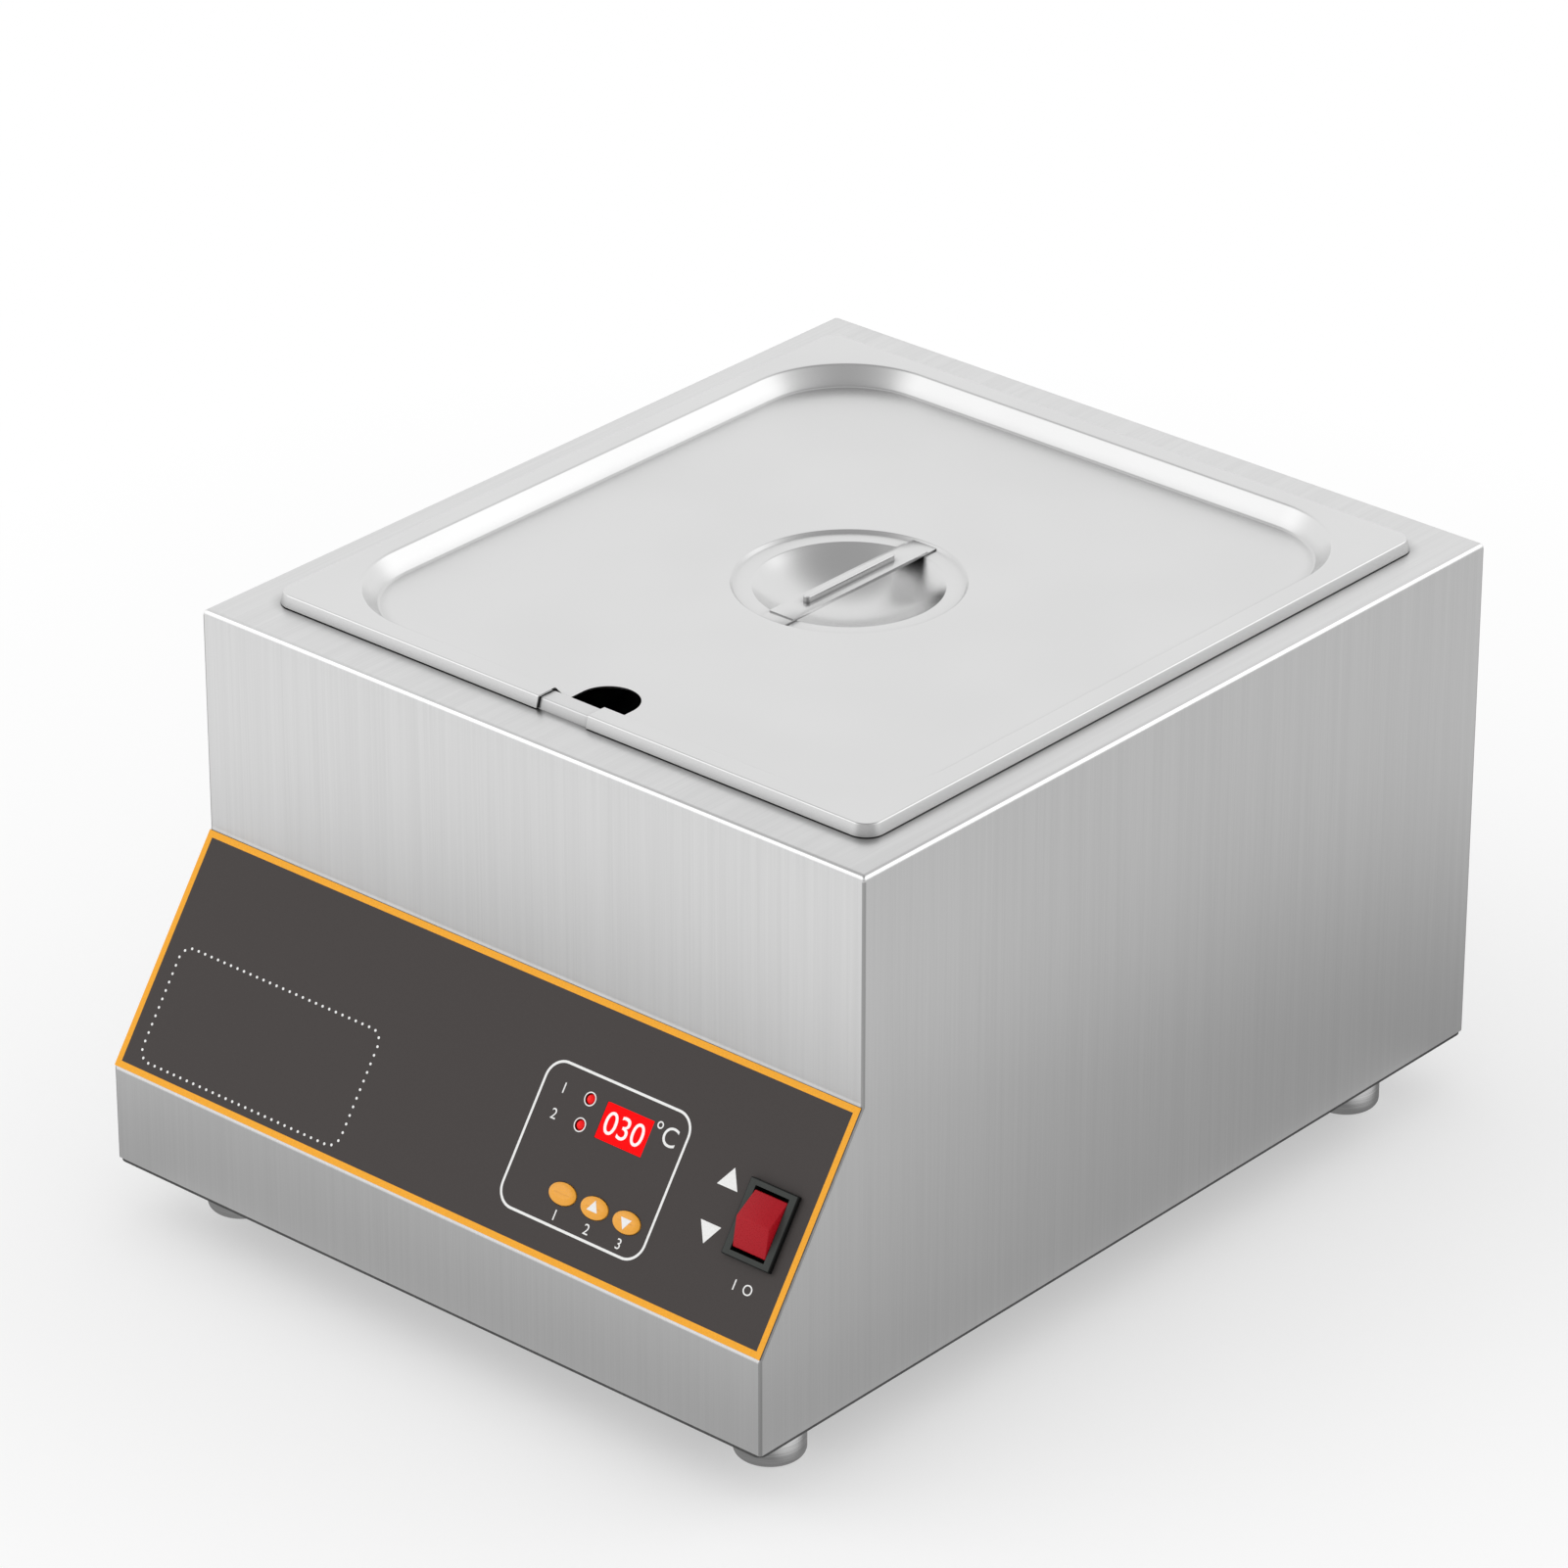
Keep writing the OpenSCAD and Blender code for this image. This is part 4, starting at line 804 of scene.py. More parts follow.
def rounded_plate(name, width, depth, corner, middle, segments=CORNER_SEGMENTS):
    """A flat plate with round corners, left in edit mode with its face selected."""
    piece = started(name, bpy.ops.mesh.primitive_plane_add, size=1)
    bpy.ops.transform.resize(value=(width, depth, 1))
    if corner > 0:
        bpy.ops.mesh.bevel(offset=corner, segments=segments, affect="VERTICES", profile=0.5)
    bpy.ops.mesh.select_all(action="SELECT")
    bpy.ops.transform.translate(value=middle)
    bpy.ops.mesh.select_mode(type="FACE")
    bpy.ops.mesh.select_all(action="SELECT")
    return piece


def open_end():
    """Removes the face that was stepped in last, and leaves edit mode without turning normals."""
    bpy.ops.mesh.delete(type="FACE")
    bpy.ops.object.mode_set(mode="OBJECT")


def bridge_at(piece, level):
    """Joins the two open loops at a level with a flat band."""
    def is_open(edge):
        return edge.is_boundary and all(abs(v.co.z - level) < LEVEL_GAP for v in edge.verts)

    open_edit(piece)
    pick(piece, "EDGE", is_open)
    bpy.ops.mesh.bridge_edge_loops()
    bpy.ops.object.mode_set(mode="OBJECT")


def joined(name, first, *others):
    """Joins pieces into one object."""
    only(first)
    for other in others:
        other.select_set(True)
    bpy.ops.object.join()
    return named(name)


print("plate helpers ready")

# %% [markdown]
# ## The casing
# One sheet is folded into the deck, the upper front, the sloped panel, the lower front, the sides and
# the rear. Single sheets could be set together, but a box keeps the corners closed. Its lower front is
# pulled forwards, and the upper edge of that part is pushed back until the panel slopes.

# %% Casing
FRONT_Y = -179 * MM
PANEL_LOW_Z = 73 * MM
PANEL_HIGH_Z = 161 * MM
CLOSE = 0.01 * MM
SAME_PLANE = math.radians(1)
casing_low, casing_high = box_of("casing")
NOSE_Y = casing_low.y
DECK_Z = casing_high.z
CASING_W = casing_high.x - casing_low.x
DECK_MIDDLE = (casing_high.y + FRONT_Y) / 2
casing = box(
    "casing_sheet",
    (CASING_W, casing_high.y - FRONT_Y, DECK_Z - casing_low.z),
    (0, DECK_MIDDLE, (DECK_Z + casing_low.z) / 2),
)
open_edit(casing)
for level in (PANEL_LOW_Z, PANEL_HIGH_Z):
    bpy.ops.mesh.select_all(action="SELECT")
    bpy.ops.mesh.bisect(plane_co=(0, 0, level), plane_no=(0, 0, 1))
pick_faces(casing, lambda at, normal: normal.y < -FACING and at.z < PANEL_HIGH_Z)
pull((0, NOSE_Y - FRONT_Y, 0))
pick_edges(casing, lambda a, b: all(v.y < NOSE_Y + CLOSE and v.z > PANEL_HIGH_Z - CLOSE for v in (a, b)))
bpy.ops.transform.translate(value=(0, FRONT_Y - NOSE_Y, 0))
bpy.ops.mesh.select_all(action="SELECT")
bpy.ops.mesh.remove_doubles(threshold=CLOSE)
bpy.ops.mesh.dissolve_limited(angle_limit=SAME_PLANE)
end_edit()
print("casing", [round(size, 3) for size in casing.dimensions], "m")

# %% [markdown]
# A brake folds the deck's edges with a larger radius than the upright corners, which are only seams. A
# bevel with one width would round all alike, so bevel weights share the width out. The underside keeps
# a flange round its opening, and the whole sheet then gets its thickness.

# %% Folds of the casing
SHEET_T = 1.2 * MM
FOLD_W = 2.5 * MM
FLANGE_W = 15 * MM
DECK_WEIGHT = 1.0
UPRIGHT_WEIGHT = 0.45
PANEL_WEIGHT = 0.7


def weight_edges(test, weight):
    """Gives the casing's edges that pass a test a share of the fold's width."""
    pick_edges(casing, test)
    bpy.ops.transform.edge_bevelweight(value=weight)


def on_deck_edge(a, b):
    return min(a.z, b.z) > DECK_Z - CLOSE


def on_upright(a, b):
    return abs(a.z - b.z) > CLOSE and abs(a.x - b.x) < CLOSE


def on_panel_fold(a, b):
    return abs(a.x - b.x) > CLOSE and all(PANEL_LOW_Z - CLOSE < v.z < PANEL_HIGH_Z + CLOSE for v in (a, b))


open_edit(casing)
weight_edges(on_deck_edge, DECK_WEIGHT)
weight_edges(on_upright, UPRIGHT_WEIGHT)
weight_edges(on_panel_fold, PANEL_WEIGHT)
pick_faces(casing, lambda at, normal: normal.z < -FACING)
bpy.ops.mesh.inset(thickness=FLANGE_W)
open_end()
apply_modifier(casing, "BEVEL", width=FOLD_W, segments=5, limit_method="WEIGHT")
thicken(casing, SHEET_T)
print("folded casing", len(casing.data.polygons), "faces")

# %% [markdown]
# The panel has a frame of its own: across, up the slope and outwards. Everything on it is made flat at
# the origin and then laid onto the slope, which is easier than modelling at an angle.

# %% The panel and its places
PANEL_LEAN = math.atan2(PANEL_HIGH_Z - PANEL_LOW_Z, FRONT_Y - NOSE_Y)
PANEL_LEN = math.hypot(PANEL_HIGH_Z - PANEL_LOW_Z, FRONT_Y - NOSE_Y)
PANEL = Matrix.Translation((0, NOSE_Y, PANEL_LOW_Z)) @ Matrix.Rotation(PANEL_LEAN, 4, "X")
WINDOW_AT = Vector((77.2, 61.8)) * MM
LAMP_PLACES = [Vector((56, 67.4)) * MM, Vector((56, 56.3)) * MM]
KEY_ROW = 28.2 * MM
KEY_PITCH = 17.25 * MM
KEY_MIDDLE = 78.4 * MM
KEY_PLACES = [Vector((KEY_MIDDLE + i * KEY_PITCH, KEY_ROW)) for i in (-1, 0, 1)]
SWITCH_AT = Vector((157.2, 49.2)) * MM


def onto_panel(piece, at):
    """Lays a piece, made flat at the origin, onto the panel at a place on it."""
    piece.matrix_world = PANEL @ Matrix.Translation((at[0], at[1], 0)) @ piece.matrix_world
    only(piece)
    bpy.ops.object.transform_apply(location=True, rotation=True, scale=True)
    return piece


print("panel", round(PANEL_LEN, 4), "m long, leans", round(math.degrees(PANEL_LEAN), 1), "degrees")

# %% [markdown]
# Openings are cut last, as a punch would cut them: the deck's opening over the well, the holes of the
# panel and the hole of the cable gland. Each punch is modelled once, and copies of it do the cutting.

# %% Openings of the casing
HOLE_W = 302.06 * MM
HOLE_D = 331.06 * MM
HOLE_CORNER = 50.6 * MM
CUT = 10 * MM
WINDOW_SIZE = Vector((25, 15.6)) * MM
SWITCH_HOLE = Vector((22.4, 29.9)) * MM
LAMP_HOLE_R = 2.5 * MM
KEY_SIZE = Vector((14, 9)) * MM
KEY_HOLE_GAP = 0.3 * MM
GLAND_AT = Vector((-110, 70)) * MM
GLAND_HOLE_R = 7.8 * MM


def oval_block(name, size, low, high):
    """An upright oval between two levels, left in edit mode with its upper face selected."""
    piece = started(name, bpy.ops.mesh.primitive_circle_add, vertices=48, radius=0.5, fill_type="NGON")
    bpy.ops.transform.resize(value=(size[0], size[1], 1))
    bpy.ops.transform.translate(value=(0, 0, low))
    bpy.ops.mesh.select_mode(type="FACE")
    pull((0, 0, high - low))
    return piece


def punch(model, places):
    """Cuts holes in the panel with copies of a punch."""
    for at in places:
        combine(casing, onto_panel(copy_of(model, "punch"), at), "DIFFERENCE")
    discard(model)


deck_punch = rounded_plate("deck_punch", HOLE_W, HOLE_D, HOLE_CORNER, (0, DECK_MIDDLE, DECK_Z - CUT))
pull((0, 0, 2 * CUT))
end_edit()
combine(casing, deck_punch, "DIFFERENCE")
punch(box("window_punch", (*WINDOW_SIZE, CUT), (0, 0, 0)), [WINDOW_AT])
punch(box("switch_punch", (*SWITCH_HOLE, CUT), (0, 0, 0)), [SWITCH_AT])
punch(rod("lamp_punch", LAMP_HOLE_R, CUT, (0, 0, 0)), LAMP_PLACES)
key_punch = oval_block("key_punch", KEY_SIZE + Vector((2, 2)) * KEY_HOLE_GAP, -CUT, CUT)
end_edit()
punch(key_punch, KEY_PLACES)
gland_middle = (GLAND_AT[0], casing_high.y, GLAND_AT[1])
combine(casing, rod("gland_punch", GLAND_HOLE_R, CUT, gland_middle, (math.pi / 2, 0, 0)), "DIFFERENCE")
smooth(casing)
finish_piece(casing, sheet_steel, "base", "steel_sheet", "casing")

# %% [markdown]
# The folds round the deck and under the panel get a lighter, glossier copy of the steel: a painted
# highlight along each fold. The upright corners are seams instead: two edges meet there in a duller
# line. Both are narrow faces of the mesh by now, so they only need another finish.

# %% Painted highlights on the folds, dull seams
FLAT_LIMIT = 0.995
SIDEWAYS = 0.1
DECK_FOLD_SLOPE = (0.3, 0.8)
panel_out = PANEL.to_3x3() @ Vector((0, 0, 1))


def between_faces(normal):
    """Whether a face is part of a fold, and not of one of the flat walls."""
    flats = (Vector((1, 0, 0)), Vector((0, 1, 0)), Vector((0, 0, 1)), panel_out)
    return all(abs(normal.dot(flat)) < FLAT_LIMIT for flat in flats)


def is_seam(at, normal):
    return between_faces(normal) and abs(normal.x) > SIDEWAYS and DECK_Z - at.z > FOLD_W


def is_fold(at, normal):
    near_deck = DECK_Z - at.z < FOLD_W and DECK_FOLD_SLOPE[0] < normal.z < DECK_FOLD_SLOPE[1]
    near_panel = abs(at.z - PANEL_LOW_Z) < FOLD_W and abs(normal.x) < SIDEWAYS
    return between_faces(normal) and (near_deck or near_panel)


def refinish(piece, finish, test):
    """Gives another finish to the faces that pass a test."""
    piece.data.materials.append(finish)
    open_edit(piece)
    pick_faces(piece, test)
    piece.active_material_index = len(piece.data.materials) - 1
    bpy.ops.object.material_slot_assign()
    bpy.ops.object.mode_set(mode="OBJECT")


refinish(casing, fold_highlight_steel, is_fold)
refinish(casing, seam_steel, is_seam)
print("casing finishes", [finish.name for finish in casing.data.materials])

# %% [markdown]
# ## The lid
# The lid is one pressing: a steep skirt, a flat ledge, a sloped wall down to a plate, and a finger
# dish in a shallow ring. The rim has tight corners and the recess wide ones, so they are two plates.
# The pan's rim has the same section and is made by the same helper.

# %% Rim and recess of the lid
LID_CORNER = 9 * MM
LID_RIM_H = 5.2 * MM
SKIRT_RUN = 1.4 * MM
SKIRT_FOLD = 1.0 * MM
RIM_W = 5.5 * MM
LEDGE_W = 11.5 * MM
RECESS_DEPTH = 8 * MM
RECESS_RUN = 7 * MM
RECESS_CORNER = 50 * MM
FOLD_R = 2.0 * MM
FLAT = 2 * MM
lid_low, lid_high = box_of("lid")


def folded_rim(name, low, high, corner, height):
    """The outer part of a pressing: a steep skirt, a folded edge and the start of a flat ledge."""
    piece = rounded_plate(
        name, high.x - low.x, high.y - low.y, corner, (0, DECK_MIDDLE, high.z - height)
    )
    step_in(folded([(0, 0), (SKIRT_RUN, height), (RIM_W, height)], [SKIRT_FOLD], steps=8))
    open_end()
    return piece


lid_rim = folded_rim("lid_rim", lid_low, lid_high, LID_CORNER, LID_RIM_H)
recess_in = LEDGE_W - FLAT
lid_recess = rounded_plate(
    "lid_recess", lid_high.x - lid_low.x - 2 * recess_in, lid_high.y - lid_low.y - 2 * recess_in,
    RECESS_CORNER + FLAT, (0, DECK_MIDDLE, lid_high.z),
)
plate_drop = -RECESS_DEPTH
recess_section = [(0, 0), (FLAT, 0), (FLAT + RECESS_RUN, plate_drop), (2 * FLAT + RECESS_RUN, plate_drop)]
step_in(folded(recess_section, [FOLD_R, FOLD_R]))
open_end()
plate_z = lid_high.z - RECESS_DEPTH
print("lid rim", len(lid_rim.data.polygons), "faces, recess", len(lid_recess.data.polygons))

# %% [markdown]
# The finger dish is a shallow bowl. Part of a sphere could be cut out and set in, but a disc that steps
# inwards along the same kind of section also gives the ring and the folds round the bowl.

# %% Finger dish
RING_R = 50 * MM
RING_STEP = 1.5 * MM
RING_RUN = 1.6 * MM
RING_FOLD = 0.7 * MM
DISH_R = 41 * MM
DISH_DEPTH = 15 * MM
DISH_FOLD = 1.5 * MM
BOWL_R = (DISH_R ** 2 + DISH_DEPTH ** 2) / (2 * DISH_DEPTH)
BOWL_SLOPE = math.degrees(math.asin(DISH_R / BOWL_R))
BOWL_END = 1.5
CIRCLE_POINTS = 84
lid_dish = started(
    "lid_dish", bpy.ops.mesh.primitive_circle_add,
    vertices=CIRCLE_POINTS, radius=RING_R + FLAT, fill_type="NGON",
)
bpy.ops.transform.rotate(value=math.pi / CIRCLE_POINTS, orient_axis="Z", center_override=(0, 0, 0))
bpy.ops.transform.translate(value=(0, DECK_MIDDLE, plate_z))
bpy.ops.mesh.select_mode(type="FACE")
bpy.ops.mesh.select_all(action="SELECT")
fold_reach = DISH_FOLD * math.tan(math.radians(BOWL_SLOPE) / 2)
dish_in = FLAT + RING_R - DISH_R - fold_reach
ring_section = [(0, 0), (FLAT, 0), (FLAT + RING_RUN, -RING_STEP), (dish_in, -RING_STEP)]
step_in(folded(ring_section, [RING_FOLD, RING_FOLD], steps=4))
step_in(arc_moves(DISH_FOLD, 0, -BOWL_SLOPE, steps=6))
bowl_start = DISH_R + fold_reach - DISH_FOLD * math.sin(math.radians(BOWL_SLOPE))
step_in(arc_moves(BOWL_R, -math.degrees(math.asin(bowl_start / BOWL_R)), -BOWL_END, steps=16))
bpy.ops.object.mode_set(mode="OBJECT")
print("bowl radius", round(BOWL_R, 4), "m, slope at its edge", round(BOWL_SLOPE, 1), "degrees")

# %% [markdown]
# The three parts become one sheet, and a punch with a round end cuts the ladle notch through its front
# edge. The dish is polished a little more than the plate, so its faces get a finish of their own.

# %% Lid in one piece
LID_T = 0.8 * MM
NOTCH_W = 27 * MM
NOTCH_Y = -128 * MM
NOTCH_H = 60 * MM
lid = joined("lid_pressing", lid_rim, lid_recess, lid_dish)
bridge_at(lid, lid_high.z)
bridge_at(lid, plate_z)
thicken(lid, LID_T)
notch_depth = NOTCH_Y - lid_low.y + CUT
notch_middle = (0, NOTCH_Y - notch_depth / 2, lid_high.z)
notch_punch = box("notch_punch", (NOTCH_W, notch_depth, NOTCH_H), notch_middle)
notch_end = rod("notch_end", NOTCH_W / 2, NOTCH_H, (0, NOTCH_Y, lid_high.z), vertices=96)
combine(notch_punch, notch_end, "UNION")
combine(lid, notch_punch, "DIFFERENCE")
smooth(lid)
finish_piece(lid, lid_steel, "lid", "bright_steel", "lid")
dish_middle = Vector((0, DECK_MIDDLE))
refinish(lid, dish_steel, lambda at, normal: (at.xy - dish_middle).length < DISH_R)

# %% [markdown]
# ## The strap handle
# A flat strap bridges the finger dish. Its two ends are stepped down and welded in the ring. It could
# be bent from a strip, but a plate whose middle is raised gives the same steps with fewer faces.

# %% Strap
STRAP_T = 1.5 * MM
TAB_DROP = 0.7 * MM
BRIDGE_HALF = 43 * MM
STRAP_EDGE = 0.15 * MM
strap_low, strap_high = box_of("lid_handle")
tab_t = STRAP_T - TAB_DROP
strap_w = strap_high.x - strap_low.x
strap_len = strap_high.y - strap_low.y
strap = box("strap", (strap_w, strap_len, tab_t), (0, DECK_MIDDLE, strap_low.z + tab_t / 2))
open_edit(strap)
for side in (-1, 1):
    bpy.ops.mesh.select_all(action="SELECT")
    bpy.ops.mesh.bisect(plane_co=(0, DECK_MIDDLE + side * BRIDGE_HALF, 0), plane_no=(0, 1, 0))
pick_faces(strap, lambda at, normal: normal.z > FACING and abs(at.y - DECK_MIDDLE) < BRIDGE_HALF - CLOSE)
pull((0, 0, TAB_DROP))
end_edit()
soften(strap, STRAP_EDGE, segments=2)
print("strap", round(strap_len, 4), "m long")

# %% [markdown]
# A raised rib stiffens the strap's middle. It starts as a box: the upright edges are rounded into round
# ends, and the top steps in along a small arc, which leaves the rib's top flat.

# %% Rib
RIB_LEN = 56 * MM
RIB_W = 3.6 * MM
RIB_ROUND = 1.6 * MM
RIB_EDGE = 0.5 * MM
rib_h = strap_high.z - strap_low.z - STRAP_T + tab_t
rib = box("rib", (RIB_W, RIB_LEN, rib_h), (0, DECK_MIDDLE, strap_high.z - rib_h / 2))
open_edit(rib)
pick_edges(rib, lambda a, b: abs(a.z - b.z) > CLOSE)
bpy.ops.mesh.bevel(offset=RIB_ROUND, segments=5)
pick_faces(rib, lambda at, normal: normal.z > FACING)
step_in(arc_moves(RIB_EDGE, 80, 0, steps=4))
end_edit()
combine(strap, rib, "UNION")
smooth(strap)
finish_piece(strap, lid_steel, "lid", "bright_steel", "lid_handle")

# %% [markdown]
# ## The pan
# The pan is pressed like the lid, so it is made the same way. Its rim hides under the lid's, and shows
# in the ladle notch. Inside, a sloped shoulder meets a wall that narrows a little to the floor.

# %% Pan
PAN_T = 0.8 * MM
PAN_CORNER = 12.8 * MM
MOUTH_W = 303.26 * MM
MOUTH_D = 332.26 * MM
MOUTH_CORNER = 50.63 * MM
SHOULDER_RUN = 6.29 * MM
SHOULDER_DROP = 7.19 * MM
WALL_DRAFT = math.radians(3.5)
FLOOR_FOLD = 12 * MM
pan_low, pan_high = box_of("pan")
pan_rim = folded_rim("pan_rim", pan_low, pan_high, PAN_CORNER, pan_high.z - DECK_Z)
pan_bowl = rounded_plate(
    "pan_bowl", MOUTH_W + 2 * FLAT, MOUTH_D + 2 * FLAT, MOUTH_CORNER + FLAT, (0, DECK_MIDDLE, pan_high.z)
)
floor_drop = pan_high.z - pan_low.z - PAN_T
shoulder_in = FLAT + SHOULDER_RUN
wall_in = shoulder_in + (floor_drop - SHOULDER_DROP) * math.tan(WALL_DRAFT)
pan_section = [
    (0, 0), (FLAT, 0), (shoulder_in, -SHOULDER_DROP), (wall_in, -floor_drop),
    (wall_in + FLOOR_FOLD + FLAT, -floor_drop),
]
step_in(folded(pan_section, [FOLD_R, FOLD_R, FLOOR_FOLD], steps=8))
bpy.ops.object.mode_set(mode="OBJECT")
pan = joined("pan_pressing", pan_rim, pan_bowl)
bridge_at(pan, pan_high.z)
thicken(pan, PAN_T)
smooth(pan)
finish_piece(pan, pan_steel, "pan", "bright_steel", "pan")

# %% [markdown]
# ## Print on the panel
# The overlay is screen printed: an orange edge, a white frame round the controls, a dotted frame on
# the left, arrows beside the switch and small marks. A picture could carry all that. Ink lies a few
# hundredths of a millimetre proud of the film, so each print is a thin plate instead, and stays sharp.

# %% Plates of ink
FILM_TOP = 0.5 * MM
INK_T = 0.05 * MM
FRAME_SEGMENTS = 12


def raise_ink():
    """Gives the selected flat print its thickness."""
    bpy.ops.mesh.select_all(action="SELECT")
    pull((0, 0, INK_T))
    end_edit()


def printed_frame(name, size, corner, line):
    """A rounded frame of one line's width."""
    piece = rounded_plate(name, size[0], size[1], corner, (0, 0, FILM_TOP), FRAME_SEGMENTS)
    bpy.ops.mesh.inset(thickness=line)
    bpy.ops.mesh.delete(type="FACE")
    raise_ink()
    return piece


def printed_triangle(name, base, height, points_up):
    """An arrow head. A triangle in a circle of radius 1 is resized to its base and height."""
    piece = started(name, bpy.ops.mesh.primitive_circle_add, vertices=3, radius=1, fill_type="NGON")
    across = 2 * math.sin(math.radians(60))
    tall = 1.5 if points_up else -1.5
    bpy.ops.transform.resize(value=(base / across, height / tall, 1), center_override=(0, 0, 0))
    bpy.ops.transform.translate(value=(0, 0, FILM_TOP))
    raise_ink()
    return piece


def lay_print(piece, at, finish=white_ink, slot="panel_film"):
    """Lays a print on the panel and hands it over."""
    onto_panel(piece, at)
    finish_piece(piece, finish, "base", slot)


print("ink", INK_T, "m thick")

# %% [markdown]
# An orange line follows the film's edge, and a white line with round corners frames the controls. Four
# strips could be laid for each, but a plate whose inside is inset and removed has closed corners.

# %% Frames on the film
BORDER_W = 2.8 * MM
FILM_MARGIN = 0.4 * MM
CONTROL_LOW = Vector((30.5, 14.0)) * MM
CONTROL_HIGH = Vector((108.4, 78.0)) * MM
CONTROL_CORNER = 9 * MM
CONTROL_LINE = 1.1 * MM
film_size = Vector((CASING_W, PANEL_LEN)) - Vector((2, 2)) * FILM_MARGIN
orange_border = printed_frame("orange_border", film_size, 0, BORDER_W)
lay_print(orange_border, (0, PANEL_LEN / 2), orange_ink, "orange_key")
control_frame = printed_frame("control_frame", CONTROL_HIGH - CONTROL_LOW, CONTROL_CORNER, CONTROL_LINE)
lay_print(control_frame, (CONTROL_LOW + CONTROL_HIGH) / 2)

# %% [markdown]
# The dotted frame is one round dot, copied to even steps round a rounded rectangle. An array along a
# curve would do the same. Walking round the outline side by side shows better how the corners are
# counted: each side is a straight run and a quarter turn.

# %% Dotted frame
DOTS_LOW = Vector((-169, 6.8)) * MM
DOTS_HIGH = Vector((-54, 58.0)) * MM
DOTS_CORNER = 6 * MM
DOT_R = 0.6 * MM
DOT_PITCH = 3.8 * MM


def places_round(size, corner, pitch):
    """Evenly spaced places on a rounded rectangle round the origin."""
    straight = [size[0] - 2 * corner, size[1] - 2 * corner]
    quarter = math.pi * corner / 2
    total = 2 * (straight[0] + straight[1]) + 4 * quarter
    count = round(total / pitch)
    for i in range(count):
        left = i * total / count
        at = Vector((-straight[0] / 2, -size[1] / 2))
        for turn in range(4):
            way = Vector((1, 0, 0))
            way.rotate(Matrix.Rotation(turn * math.pi / 2, 3, "Z"))
            ahead = Vector((way.x, way.y))
            aside = Vector((-way.y, way.x))
            run = straight[turn % 2]
            if left <= run:
                yield at + ahead * left
                break
            left -= run
            at += ahead * run
            if left <= quarter:
                angle = left / corner
                yield at + ahead * corner * math.sin(angle) + aside * corner * (1 - math.cos(angle))
                break
            left -= quarter
            at += ahead * corner + aside * corner


dot = rod("dot", DOT_R, INK_T, (0, 0, FILM_TOP + INK_T / 2), vertices=12)
dots = []
for at in places_round(DOTS_HIGH - DOTS_LOW, DOTS_CORNER, DOT_PITCH):
    dots.append(copy_of(dot, "dot_copy"))
    bpy.ops.transform.translate(value=(at[0], at[1], 0))
discard(dot)
lay_print(joined("dotted_frame", dots[0], *dots[1:]), (DOTS_LOW + DOTS_HIGH) / 2)
print("dots", len(dots))

# %% [markdown]
# Characters start as text objects, which Blender fills in itself. They are turned into a mesh and then
# fitted to the height, and for the display also to the width, that they have on the panel.

# %% Arrows, digits and marks
ARROW_SIZE = Vector((10.7, 8.5)) * MM
ARROW_UP_AT = Vector((134.4, 60.0)) * MM
ARROW_DOWN_AT = Vector((133.7, 38.9)) * MM
DIGIT_SIZE = Vector((20.5, 9.6)) * MM
DEGREE_AT = Vector((97.3, 66.5)) * MM
DEGREE_H = 8.6 * MM
MARK_H = 4.4 * MM
LAMP_MARK_OUT = 14 * MM
KEY_MARK_ROW = 19.2 * MM
SWITCH_MARK_AT = Vector((159.5, 23.5)) * MM
LAMP_RING_R = 3.0 * MM
LAMP_RING_LINE = 0.5 * MM
NEARLY_ROUND = 0.999


def printed_text(name, body, height, width=None):
    """Characters of a height, and a width if it is given, with their middle at the origin."""
    piece = added(name, bpy.ops.object.text_add)
    piece.data.body = body
    piece.data.size = height
    piece.data.extrude = INK_T / 2
    bpy.ops.object.convert(target="MESH")
    piece = named(name)
    open_edit(piece)
    spots = [v.co.copy() for v in bmesh.from_edit_mesh(piece.data).verts]
    low = Vector([min(s[i] for s in spots) for i in range(3)])
    high = Vector([max(s[i] for s in spots) for i in range(3)])
    middle = (low + high) / 2
    tall = height / (high.y - low.y)
    wide = tall if width is None else width / (high.x - low.x)
    bpy.ops.transform.translate(value=(-middle.x, -middle.y, 0))
    bpy.ops.transform.resize(value=(wide, tall, 1), center_override=(0, 0, 0))
    bpy.ops.transform.translate(value=(0, 0, FILM_TOP + INK_T / 2))
    bpy.ops.mesh.remove_doubles(threshold=SMALLEST_INSET)
    end_edit()
    return piece


lay_print(printed_triangle("arrow_up", *ARROW_SIZE, True), ARROW_UP_AT)
lay_print(printed_triangle("arrow_down", *ARROW_SIZE, False), ARROW_DOWN_AT)
digits = printed_text("display_digits", "030", DIGIT_SIZE[1], DIGIT_SIZE[0])
lay_print(digits, WINDOW_AT, lit_white, "red_window")
lay_print(printed_text("degree_mark", "\N{DEGREE SIGN}C", DEGREE_H), DEGREE_AT)
ring_size = (2 * LAMP_RING_R, 2 * LAMP_RING_R)
lamp_ring = printed_frame("lamp_ring", ring_size, LAMP_RING_R * NEARLY_ROUND, LAMP_RING_LINE)
for number, at in enumerate(LAMP_PLACES, 1):
    lay_print(copy_of(lamp_ring, f"lamp_ring_{number}"), at)
    lay_print(printed_text(f"lamp_mark_{number}", str(number), MARK_H), (at[0] - LAMP_MARK_OUT, at[1]))
discard(lamp_ring)
for mark, at in zip("123", KEY_PLACES):
    lay_print(printed_text(f"key_mark_{mark}", mark, MARK_H), (at[0], KEY_MARK_ROW))
lay_print(printed_text("switch_mark", "I  O", MARK_H), SWITCH_MARK_AT)

